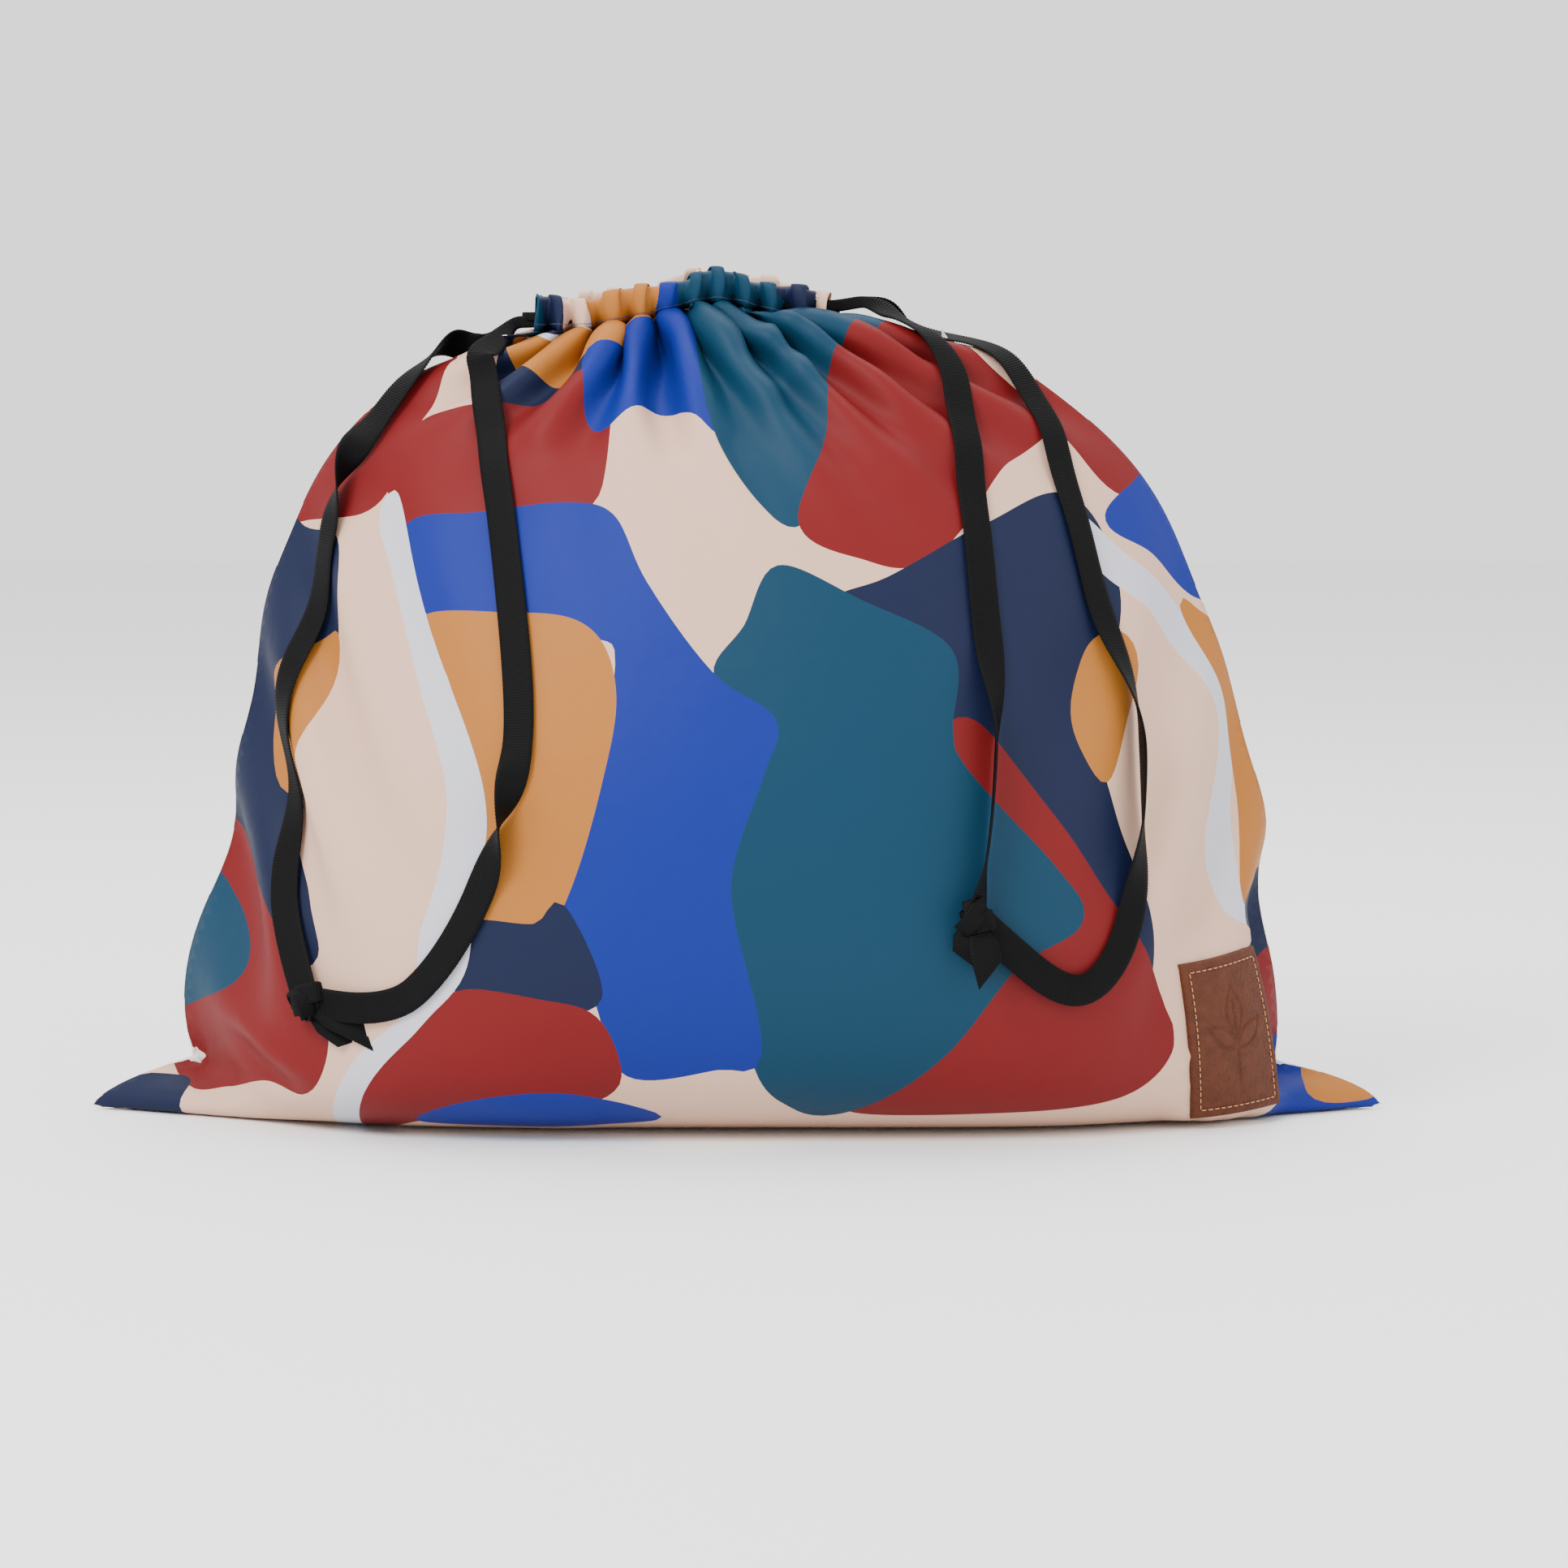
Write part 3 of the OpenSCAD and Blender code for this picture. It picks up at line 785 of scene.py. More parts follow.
def closed_sheet(name, points, triangles, thick, materials, outer, inner):
    """Closed thin solid: the outer skin, an inner skin below it and walls along its open edges.

    outer and inner give the material of each triangle on either skin; inner may be one for all."""
    inner = np.broadcast_to(inner, len(triangles))
    n = vertex_normals(points, triangles)
    both = np.concatenate([points, points - thick * n])
    count = len(points)
    edges = np.concatenate([triangles[:, [0, 1]], triangles[:, [1, 2]], triangles[:, [2, 0]]])
    key = np.sort(edges, 1)
    _, first, times = np.unique(key, axis=0, return_index=True, return_counts=True)
    lone = first[times == 1]
    rim = edges[lone]
    rim_marks = inner[lone % len(triangles)]
    walls = np.concatenate([
        np.stack([rim[:, 1], rim[:, 0], rim[:, 0] + count], -1),
        np.stack([rim[:, 1], rim[:, 0] + count, rim[:, 1] + count], -1)])
    faces = np.concatenate([triangles, triangles[:, ::-1] + count, walls])
    marks = np.concatenate([outer, inner, rim_marks, rim_marks])
    return mesh_object(name, both, faces, materials, marks)


def make_panel(cloth, side):
    flat, triangles = flat_triangles(side)
    points = on_cloth(cloth, side, flat)
    middle = flat[triangles].mean(1)
    colour = print_colour(middle, side)
    lining = np.where(middle[:, 1] > PANEL_H / MM - LINED_HEM, colour, REVERSE)
    if side == BACK:
        triangles = triangles[:, ::-1]
    skins[side] = (points, triangles)
    name = SIDE_NAME[side] + "_panel"
    obj = closed_sheet(name + "_cloth", points, triangles, CLOTH_T, CLOTH, colour, lining)
    return fit(obj, name)


# ---------------------------------------------------------------- the cloth under the leather patch

PATCH_SIZE = (55.0, 80.0)
PATCH_T = 0.002
# Corners of the patch on the filled sack, in millimetres: lower left, lower right, upper left, upper right
PATCH_CORNERS = MM * np.array([(219.0, -69, 5), (264, -39, 8), (211, -86, 82), (249, -49, 87)])
# How far from the patch the cloth still gives way to it
PUCKER = 0.026


def patch_surface(a, b):
    """Gently curved face that the patch lies on, and its outward direction; a runs across and b up, 0 to 1."""
    a, b = np.asarray(a, float)[..., None], np.asarray(b, float)[..., None]
    low = PATCH_CORNERS[0] + a * (PATCH_CORNERS[1] - PATCH_CORNERS[0])
    high = PATCH_CORNERS[2] + a * (PATCH_CORNERS[3] - PATCH_CORNERS[2])
    across = (1 - b) * (PATCH_CORNERS[1] - PATCH_CORNERS[0]) + b * (PATCH_CORNERS[3] - PATCH_CORNERS[2])
    n = unit(np.cross(across, high - low))
    bulge = 0.016 * a * (1 - a) + 0.012 * b * (1 - b)
    return low + b * (high - low) + n * bulge, unit(n + 0.29 * (2 * a - 1) * unit(across))


def settle_under_patch(cloth):
    """Lets the cloth lie against the back of the patch, and pucker out from its edges."""
    a, b = np.meshgrid(np.linspace(0, 1, 45), np.linspace(0, 1, 65))
    face, _ = patch_surface(a.ravel(), b.ravel())
    rim = ((a == 0) | (a == 1) | (b == 0) | (b == 1)).ravel()
    rows, cols = np.nonzero((cloth[0, :, :, 0] > 0.17) & (cloth[0, :, :, 2] < 0.13))
    nodes = cloth[0, rows, cols]
    near = np.linalg.norm(nodes[:, None] - face, axis=2).argmin(1)
    over = ~rim[near]
    move = face[near[over]] - nodes[over]
    place = np.stack([rows, cols], -1).astype(float)
    away = np.sqrt(((place[:, None] - place[over]) ** 2).sum(-1))
    reach = away.min(1) * CELL_X
    cloth[0, rows, cols] = nodes + move[away.argmin(1)] * (1 - ease(reach / PUCKER))[:, None]
    cloth[0, :, :, 2] = np.maximum(cloth[0, :, :, 2], FLOOR_GAP)
    cloth[1, :, -1] = cloth[0, :, -1]


cloth = drape()
add_folds(cloth)
settle_under_patch(cloth)
skins = {}
panels = {side: make_panel(cloth, side) for side in (FRONT, BACK)}

# ---------------------------------------------------------------- casings

# Height of the cloth that goes round a tunnel, from one stitch line over the top fold to the other
CASING_ROUND = 0.050
CASING_UP = 0.0165
TUNNEL_HALF = 0.0074
CASING_ROWS = 30
TOPSTITCH_TURN = 0.045
STITCH = 2.5
STITCH_PITCH = 3.3


def casing_height(s, side):
    """How high the casing stands over its stitch line, to the top of each gather."""
    phase = pleat_phase(s, side)
    return CASING_UP + 0.0009 * np.cos(phase + 0.6) + 0.0017 * np.sin(3.3 * np.pi * s + side)


def casing_point(s, turn, side):
    """Skin of the casing: turn runs from 0 at the stitch line over the top fold at 0.5 to the inside at 1."""
    x, y, low = mouth_line(s, side, 0)
    phase = pleat_phase(s, side)
    open_wide = np.sin(2 * np.pi * turn)
    spread = np.sign(open_wide) * np.abs(open_wide) ** 0.45
    flatter = (1 - 0.60 * np.abs(spread)) * (1 - 0.2 * np.sin(np.pi * turn) ** 4)
    outer = 2 * np.abs(np.cos(phase / 2)) ** 0.85 - 1
    inner = 1 - 2 * np.abs(np.sin(phase / 2)) ** 0.85
    round_fold = np.where(spread > 0, outer, inner)
    shape = np.cos(phase) + (round_fold - np.cos(phase)) * np.abs(spread)
    wave = PLEAT_DEPTH * pleat_share(s, side) * flatter * shape
    wave += 0.0007 * np.sin(2 * phase + 3 * turn) * np.abs(open_wide)
    z = low + casing_height(s, side) * np.sin(np.pi * turn) ** 0.8
    lean = 0.0016 * np.sin(phase * 2 + 2.0 * turn) + 0.0015 * np.sin(5 * s + 4 * turn)
    return np.stack([x + lean * np.sin(np.pi * turn), y + side * (wave + TUNNEL_HALF * spread), z], -1)


def make_casing(side):
    cols = PLEATS * 26
    s, turn = np.meshgrid(np.linspace(-1, 1, cols), np.arange(CASING_ROWS) / CASING_ROWS, indexing="ij")
    quads = grid_faces(cols, CASING_ROWS, wrap=True)
    if side == FRONT:
        quads = quads[:, ::-1]
    triangles = np.concatenate([quads[:, [0, 1, 2]], quads[:, [0, 2, 3]]])
    flat_x = (s * SACK_W / MM / 2).ravel()[triangles]
    flat_y = (PANEL_H / MM + turn * CASING_ROUND / MM).ravel()[triangles]
    low, high = flat_y.min(1), flat_y.max(1)
    closes_the_tunnel = high - low > CASING_ROUND / MM / 2
    middle_y = np.where(closes_the_tunnel, high, (low + high) / 2)
    colour = print_colour(np.stack([flat_x.mean(1), middle_y], -1), side)
    name = SIDE_NAME[side] + "_casing"
    obj = closed_sheet(name + "_cloth", casing_point(s, turn, side).reshape(-1, 3), triangles, CLOTH_T, CLOTH,
                       colour, colour)
    return fit(obj, name)


def threads(name, paths, radius, material, sides=6):
    """Short stitches in one mesh; paths is (stitches, points, 3), each tapering at its ends."""
    paths = np.asarray(paths, float)
    count, rings = paths.shape[:2]
    along = unit(np.gradient(paths, axis=1))
    up = np.where(np.abs(along[..., 2:]) > 0.8, np.array([1.0, 0, 0]), np.array([0, 0, 1.0]))
    a = unit(np.cross(along, up))
    b = np.cross(along, a)
    size = radius * np.sqrt(np.clip(1 - np.linspace(-1, 1, rings) ** 6, 0.06, 1))[None, :, None, None]
    angle = 2 * np.pi * np.arange(sides) / sides
    ring = np.cos(angle)[:, None] * a[:, :, None] + np.sin(angle)[:, None] * b[:, :, None]
    points = (paths[:, :, None] + size * ring).reshape(-1, 3)
    quads = grid_faces(rings, sides, wrap=True)
    caps = [np.arange(sides)[::-1], np.arange(sides) + (rings - 1) * sides]
    faces = []
    for k in range(count):
        base = k * rings * sides
        faces.extend(list(quads + base))
        faces.extend([c + base for c in caps])
    return mesh_object(name, points, faces, material)


def make_casing_stitching(side):
    paths = []
    for start in np.arange(-322, 319, STITCH_PITCH):
        s = (start + np.linspace(0, STITCH, 5)) / (SACK_W / MM / 2)
        turn = np.full(5, TOPSTITCH_TURN)
        p, q = casing_point(s, turn, side), casing_point(s + 1e-3, turn, side)
        outward = unit(np.cross(q - p, np.array([0, 0, 1.0])))
        paths.append(p + side * outward * 0.00015)
    name = SIDE_NAME[side] + "_casing"
    obj = threads(name + "_topstitch", paths, 0.00032, NAVY_THREAD)
    return fit(obj, name + "_stitching")


for side in (FRONT, BACK):
    make_casing(side)
for side in (FRONT, BACK):
    make_casing_stitching(side)

# ---------------------------------------------------------------- ribbons

RIBBON_W = 0.015
RIBBON_T = 0.0011
RIB = 0.00135
# Height of a ribbon's middle over the cloth, and of its edges, where it lies flat
OVER_CLOTH = 0.0016
EDGE_OVER_CLOTH = 0.0011
# Half of a ribbon's section: places across it and heights, from one selvedge over the face to the other
FACE_ACROSS = (-1, -0.95, -0.7, -0.35, 0, 0.35, 0.7, 0.95)
FACE_HEIGHT = (0, 0.75, 1, 1, 1, 1, 1, 0.75)


def cloth_tree():
    """Search tree of both panels' outer skins."""
    points, faces, base = [], [], 0
    for skin, triangles in skins.values():
        points.extend(skin.tolist())
        faces.extend((triangles + base).tolist())
        base += len(skin)
    return BVHTree.FromPolygons(points, faces)


def blur(values, width):
    """Smooths a row of vectors over about width of them, keeping both ends where they are."""
    reach = int(3 * width)
    k = np.exp(-((np.arange(-reach, reach + 1) / width) ** 2))
    k /= k.sum()
    before = 2 * values[0] - values[reach:0:-1]
    after = 2 * values[-1] - values[-2 : -reach - 2 : -1]
    padded = np.concatenate([before, values, after])
    return np.stack([np.convolve(padded[:, i], k, "valid") for i in range(values.shape[1])], -1)


def evenly(points, step):
    """The same line cut at even distances."""
    gone = np.concatenate([[0], np.cumsum(np.linalg.norm(np.diff(points, axis=0), axis=1))])
    n = max(3, int(round(gone[-1] / step)))
    t = np.linspace(0, gone[-1], n + 1)
    return np.stack([np.interp(t, gone, points[:, i]) for i in range(3)], -1)


def along_marks(marks, t):
    """Value eased between (place from 0 to 1, value) marks."""
    marks = np.array(marks, float)
    k = np.clip(np.searchsorted(marks[:, 0], t) - 1, 0, len(marks) - 2)
    f = ease((t - marks[k, 0]) / (marks[k + 1, 0] - marks[k, 0]))
    return marks[k, 1] + f * (marks[k + 1, 1] - marks[k, 1])


def rest_on_cloth(line, want, held):
    """Moves a line to the wanted heights over the cloth; held is 1 where it must stay."""
    start = line.copy()
    for _ in range(5):
        hits = [tree.find_nearest(Vector(p)) for p in line]
        foot = np.array([h[0] for h in hits])
        normal = unit(blur(np.array([h[1] for h in hits]), 12))
        gap = ((line - foot) * normal).sum(1)
        line = line + blur(normal * (want - gap)[:, None], 8) * 0.8
        line = line * (1 - held) + start * held
        line = blur(line, 4)
    return line, normal


def clear_edges(line, normal, angle, held):
    """Lifts a line where an edge of its ribbon, turned by angle, would go into the cloth."""
    tangent = unit(np.gradient(line, axis=0))
    for _ in range(3):
        across = unit(np.cross(tangent, normal))
        short = np.zeros(len(line))
        for side in (-1, -0.5, 0, 0.5, 1):
            edge = line + across * (side * RIBBON_W / 2 * np.cos(angle))[:, None]
            edge += normal * (side * RIBBON_W / 2 * np.sin(angle))[:, None]
            for k, p in enumerate(edge):
                where, face_normal, _, _ = tree.find_nearest(Vector(p))
                lack = EDGE_OVER_CLOTH - (Vector(p) - where).dot(face_normal)
                if lack > short[k]:
                    short[k] = min(lack, 0.006)
        spread = np.pad(short, 6, mode="edge")
        short = blur(np.max([spread[k : k + len(short)] for k in range(13)], axis=0)[:, None], 6)
        line = line + normal * short * (1 - held)
    return line


def lay_ribbon(route, turns, free, lead, end):
    """Centre line of a strand laid on the cloth, the direction across it, and the points of its lead.

    route is the CAD's, in millimetres. turns are (place, degrees) marks of its twists, free those of how far
    it stands off the cloth in millimetres. lead is its way out of the casing, before the route."""
    line = evenly(MM * smooth_curve(route, np.linspace(0, 1, 400)), 0.002)
    t = np.linspace(0, 1, len(line))
    angle = np.radians(along_marks(turns, t))
    want = OVER_CLOTH + MM * along_marks(free, t) + RIBBON_W / 2 * np.abs(np.sin(angle))
    held = 1 - ease(t / 0.07)[:, None]
    line, normal = rest_on_cloth(line, want, held)
    line = clear_edges(line, normal, angle, held)
    line = line + ease((t - 0.88) / 0.12)[:, None] * (np.array(end) - line[-1])
    lead_line = evenly(MM * smooth_curve(lead + route[:1], np.linspace(0, 1, 60)), 0.002)[:-1]
    lead_side = np.sign(lead_line[0][1])
    lead_normal = np.tile([0.0, lead_side, 0.0], (len(lead_line), 1))
    outward = np.array([0.3 * np.sign(line[0][0]), lead_side, 0.35])
    normal = unit(held * outward + (1 - held) * normal)
    line = blur(np.concatenate([lead_line, line]), 2)
    normal = unit(blur(np.concatenate([lead_normal, normal]), 5))
    angle = np.concatenate([np.full(len(lead_line), angle[0]), angle])
    tangent = unit(np.gradient(line, axis=0))
    across = unit(np.cross(tangent, normal))
    lifted = unit(np.cross(across, tangent))
    return line, across * np.cos(angle)[:, None] + lifted * np.sin(angle)[:, None], len(lead_line)


def band(name, line, across, widths, slant=0.0):
    """Ribbed flat ribbon along a line, with rounded selvedges; widths is a number or one per point."""
    gone = np.concatenate([[0], np.cumsum(np.linalg.norm(np.diff(line, axis=0), axis=1))])
    at = np.linspace(0, gone[-1], int(gone[-1] / (RIB / 4)))
    i = np.interp(at, gone, np.arange(len(gone)))
    k = np.clip(np.floor(i).astype(int), 0, len(gone) - 2)

    def fine(values):
        return between(*(values[np.clip(k + j, 0, len(values) - 1)] for j in (-1, 0, 1, 2)), (i - k)[:, None])

    centre, wide = fine(line), unit(fine(across))
    tangent = unit(np.gradient(centre, axis=0))
    wide = unit(wide - (wide * tangent).sum(1, keepdims=True) * tangent)
    up = np.cross(wide, tangent)
    half = fine(np.broadcast_to(np.asarray(widths, float), (len(line),))[:, None].copy())[:, 0] / 2
    places = np.array(FACE_ACROSS + tuple(-p for p in FACE_ACROSS))
    heights = np.array(FACE_HEIGHT + tuple(-h for h in FACE_HEIGHT))
    rib = 1 + 0.36 * np.cos(2 * np.pi * at / RIB)
    edge = 1 + 0.012 * np.cos(2 * np.pi * at / RIB)
    shift = (slant * np.clip((at - at[-1] + 0.02) / 0.02, 0, 1))[:, None] * places
    points = centre[:, None] + wide[:, None] * (half * edge)[:, None, None] * places[:, None]
    points = points + up[:, None] * (RIBBON_T / 2 * rib)[:, None, None] * heights[:, None]
    points = points + tangent[:, None] * shift[..., None]
    sides = len(places)
    quads = list(grid_faces(len(at), sides, wrap=True)[:, ::-1])
    caps = [np.arange(sides), (np.arange(sides) + (len(at) - 1) * sides)[::-1]]
    obj = mesh_object(name, points, quads + caps, RIBBON)
    return obj


# The strands' routes, in millimetres, as part.scad has them but for their first points
LEFT_OUTER_ROUTE = [
    (-108, 3, 388), (-116, 3, 385), (-129, 2, 379), (-146, -1, 372), (-160, -6, 363), (-173, -12, 351),
    (-183, -19, 328), (-192, -27, 304), (-203, -32, 270), (-213, -37, 232), (-219, -43, 194),
    (-220, -49, 160), (-219, -60, 126), (-216, -74, 96), (-210, -86, 76)]
LEFT_INNER_ROUTE = [
    (-108, -5, 388), (-114, -10, 385), (-119, -15, 377), (-122, -23, 367), (-120, -43, 348),
    (-116, -65, 322), (-111, -88, 288), (-106, -107, 252), (-102, -122, 216), (-102, -132, 184),
    (-108, -136, 154), (-118, -136, 126), (-132, -133, 98), (-151, -127, 73), (-174, -117, 58),
    (-193, -105, 58)]
RIGHT_INNER_ROUTE = [
    (62, -5, 398), (72, -8, 397), (83, -11, 393), (93, -14, 386), (101, -19, 374), (107, -36, 356),
    (111, -56, 334), (115, -79, 300), (119, -99, 260), (122, -113, 220), (121, -128, 180), (118, -137, 144),
    (113, -142, 118)]
RIGHT_OUTER_ROUTE = [
    (62, 5, 398), (74, 5, 397), (92, 4, 392), (112, 2, 387), (130, -3, 377), (143, -11, 361),
    (152, -23, 342), (160, -41, 316), (168, -56, 286), (177, -64, 252), (186, -72, 220), (193, -81, 184),
    (194, -93, 150), (191, -105, 118), (182, -116, 88), (164, -126, 70), (147, -133, 80), (135, -137, 98),
    (122, -141, 112)]

# Each strand: its route, its twists, how far it stands off the cloth, and its way out of the casing
HANGING = [(0, 2), (0.1, 0.5), (0.9, 0.5), (1, 2)]
STRANDS = {
    "left_outer": (
        LEFT_OUTER_ROUTE, [(0, 0), (0.22, 0), (0.40, 180), (1, 180)],
        [(0, 2), (0.1, 1), (0.9, 0.2), (1, 1)], [(-80, 16, 390), (-90, 14, 389), (-100, 8, 388)]),
    "left_inner": (
        LEFT_INNER_ROUTE, [(0, 0), (0.56, 0), (0.74, 180), (1, 180)],
        HANGING, [(-80, -16, 390), (-90, -14, 389), (-100, -9, 388)]),
    "right_inner": (
        RIGHT_INNER_ROUTE, [(0, 0), (0.62, 0), (0.8, 70), (0.93, 70), (1, 40)],
        HANGING, [(30, -16, 394), (40, -14, 395), (51, -9, 396)]),
    "right_outer": (
        RIGHT_OUTER_ROUTE, [(0, 0), (0.45, 0), (0.60, 50), (0.66, 50), (0.78, 0), (1, 0)],
        [(0, 2), (0.1, 0.5), (0.8, 0.5), (0.9, 3), (1, 2)], [(30, 16, 394), (40, 14, 395), (51, 9, 396)]),
}

tree = cloth_tree()


def knot_place(centre):
    """Middle of a knot that lies on the cloth."""
    foot, normal, _, _ = tree.find_nearest(Vector(centre))
    return np.array(foot + 0.0075 * normal)


KNOT_CENTRES = {"left": knot_place((-0.205, -0.100, 0.066)), "right": knot_place((0.113, -0.146, 0.111))}
strand_lines = {name: lay_ribbon(*spec, KNOT_CENTRES[name.split("_")[0]]) for name, spec in STRANDS.items()}

# Width of a ribbon folded in its casing
FOLDED_W = 0.006


def make_strand(name):
    line, across, lead = strand_lines[name]
    opened = ease((np.arange(len(line)) - lead) / 8)
    obj = band(name + "_ribbon", line, across, FOLDED_W + (RIBBON_W - FOLDED_W) * opened)
    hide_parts(name + "_strand")
    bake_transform(obj)
    return obj


strands = {name: make_strand(name) for name in STRANDS}

# ---------------------------------------------------------------- the drawstrings inside the casings

# Each drawstring's near and far vent and how far its legs run from the mid plane, in millimetres
RUNS = {"left": (-98, 40, 14.6), "right": (44, -94, 15.9)}
RUN_W = 0.0042
RUN_OVER_STITCHES = 0.0075


def make_run(side):
    """Both legs of a drawstring in the casings and its turn at the far vent, the ribbon folded up small."""
    near, far, wide = RUNS[side]
    sign = np.sign(near - far)

    def z_at(x):
        s = (x - CASING_LEFT / MM) / ((CASING_RIGHT - CASING_LEFT) / MM) * 2 - 1
        return mouth_line(np.clip(s, -1, 1), FRONT, RUN_OVER_STITCHES)[2] / MM

    inner_lead, outer_lead = (STRANDS[f"{side}_{place}"][3] for place in ("inner", "outer"))
    straight = np.linspace(near - sign * 24, far + sign * 10, 8)
    front = [(x, -wide, z_at(x)) for x in straight]
    back = [(x, wide, z_at(x)) for x in straight[::-1]]
    bight = ((3, -13.5), (9, -6.5), (10, 0), (9, 6.5), (3, 13.5))
    turn = [(far - sign * out, y, z_at(far)) for out, y in bight]
    route = inner_lead[::-1] + front + turn + back + outer_lead
    line = blur(evenly(MM * smooth_curve(route, np.linspace(0, 1, 900)), 0.0015), 2)
    tangent = unit(np.gradient(line, axis=0))
    across = np.tile([0.0, 0.0, 1.0], (len(line), 1))
    across = unit(across - (across * tangent).sum(1, keepdims=True) * tangent)
    obj = band(side + "_drawstring_in_casing", line, across, RUN_W)
    return fit(obj, side + "_drawstring_run", side + "_drawstring")


for side in ("left", "right"):
    make_run(side)

# ---------------------------------------------------------------- knots


def wrap(centre, axis, start, radii, turns, tilt, steps=90):
    """One turn of ribbon around the knot: an oval about an axis that climbs a little along it."""
    a = unit(np.cross(axis, np.array([0.31, 0.9, 0.27])))
    b = np.cross(axis, a)
    t = np.linspace(start, start + 2 * np.pi * turns, steps)
    ring = radii[0] * np.cos(t)[:, None] * a + radii[1] * np.sin(t)[:, None] * b
    line = centre + ring + tilt * np.sin(t / 2 + 0.4)[:, None] * axis
    outward = unit(np.cos(t)[:, None] / radii[0] * a + np.sin(t)[:, None] / radii[1] * b)
    return line, unit(np.cross(unit(np.gradient(line, axis=0)), outward))


def tail_line(start, end, sag, up):
    """A ribbon's cut end from the knot, and the direction across it."""
    t = np.linspace(0, 1, 24)[:, None]
    droop = np.array([0, 0, -sag]) * t * t + np.array([0, -0.002, 0]) * np.sin(np.pi * t)
    line = start + t * (end - start) + droop
    return line, unit(np.cross(unit(np.gradient(line, axis=0)), np.array(up, float)))


# Each knot: the way its strands pull, the way its turns cross them, and its two tails as start and end from
# the knot's middle, sag, upward direction and slant of the cut
KNOTS = {
    "left": dict(pull=(0.62, 0.1, -0.35), cross=(-0.25, 0.3, 1.0),
                 tails=[((0.003, -0.002, -0.002), (0.031, -0.012, -0.010), 0.003, (0.25, -1, 0.1), 0.006),
                        ((0.002, 0.001, -0.004), (0.024, -0.008, -0.016), 0.002, (0.1, -1, 0.3), -0.005)]),
    "right": dict(pull=(0.35, 0.05, -1.0), cross=(1.0, 0.1, 0.25),
                  tails=[((0.001, -0.002, -0.004), (0.007, -0.006, -0.026), 0.0, (0.2, -1, 0.1), 0.005),
                         ((-0.003, 0.0, -0.003), (-0.004, -0.001, -0.020), 0.0, (-0.3, -1, 0.0), -0.004)]),
}
TAIL_W = (0.008, 0.0145)


def make_knot(side):
    pull, cross = (unit(np.array(KNOTS[side][key])) for key in ("pull", "cross"))
    centre = KNOT_CENTRES[side]
    # Axis, start angle, two radii, ribbon width, number of turns, climb and place of each turn of ribbon
    turns = [
        (pull, 0.3, (0.0062, 0.0046), 0.012, 1.05, 0.0012, (0, 0, 0)),
        (cross, 1.2, (0.0080, 0.0055), 0.010, 1.02, 0.0020, (0.001, -0.0012, 0.001)),
        (unit(pull + 0.9 * cross), 2.2, (0.0078, 0.0066), 0.009, 1.02, 0.0022, (-0.001, -0.0015, -0.001)),
    ]
    pieces = []
    for axis, start, radii, width, count, tilt, move in turns:
        line, across = wrap(centre + np.array(move), axis, start, radii, count, tilt)
        pieces.append(band("knot_turn", line, across, width))
    for start, end, sag, up, slant in KNOTS[side]["tails"]:
        line, across = tail_line(centre + np.array(start), centre + np.array(end), sag, up)
        opened = ease(np.linspace(0, 2.2, len(line)))
        widths = TAIL_W[0] + (TAIL_W[1] - TAIL_W[0]) * opened
        pieces.append(band("knot_tail", line, across, widths, slant=slant))
    return fit(join(side + "_overhand_knot", pieces), side + "_knot", side + "_loop")


knots = {side: make_knot(side) for side in ("left", "right")}

# ---------------------------------------------------------------- leather patch

# The patch's stitches, in millimetres from its edge and from stitch to stitch, and its height over the cloth
PATCH_INSET = 4.6
PATCH_PITCH = 3.4
PATCH_LIFT = 0.0006


def leaf(x, y, degrees, length, width):
    """Outline of a leaf of the sprig, from its foot at x, y."""
    t = np.linspace(0, 1, 25)
    c, s = math.cos(math.radians(degrees)), math.sin(math.radians(degrees))
    lines = []
    for side in (-1, 1):
        along, off = length * t, side * width / 2 * np.sin(np.pi * t)
        lines.append(np.stack([x + along * c - off * s, y + along * s + off * c], -1))
    return lines


def sprig():
    """A plain sprig of three leaves pressed into the patch, in millimetres from its lower left corner."""
    stem = np.stack([np.full(30, 27.6), np.linspace(17, 58, 30)], -1)
    side_leaves = leaf(27.6, 34, 38, 21, 8.5) + leaf(27.6, 34, 142, 21, 8.5)
    return np.concatenate(leaf(27.6, 40, 90, 25, 10) + side_leaves + [stem])


def patch_relief(a, b):
    """Height of the leather's face over its back: turned edge, groove for the stitches, sprig and grain."""
    (wide, high), shape = PATCH_SIZE, a.shape
    edge = np.minimum(np.minimum(a, 1 - a) * wide, np.minimum(b, 1 - b) * high)
    top = PATCH_T * np.sqrt(np.clip(1 - (1 - np.clip(edge / 1.3, 0, 1)) ** 2, 0, 1))
    groove = np.exp(-(((edge - PATCH_INSET) / 0.7) ** 2))
    top = top - 0.00038 * groove * (edge > 2) + 0.00018 * np.exp(-(((edge - 2.4) / 1.2) ** 2))
    place = np.stack([a.ravel() * wide, b.ravel() * high], -1)
    gap = np.sqrt(((place[:, None] - sprig()) ** 2).sum(-1)).min(1).reshape(shape)
    top = top - 0.00055 * (1 - ease((gap - 0.55) / 0.6))
    grain = smoothing(shape[0], 1.6) @ rng.normal(0, 1, shape) @ smoothing(shape[1], 1.6).T
    return top + 0.00007 * grain / grain.std() * np.clip(edge / 1.5, 0, 1)


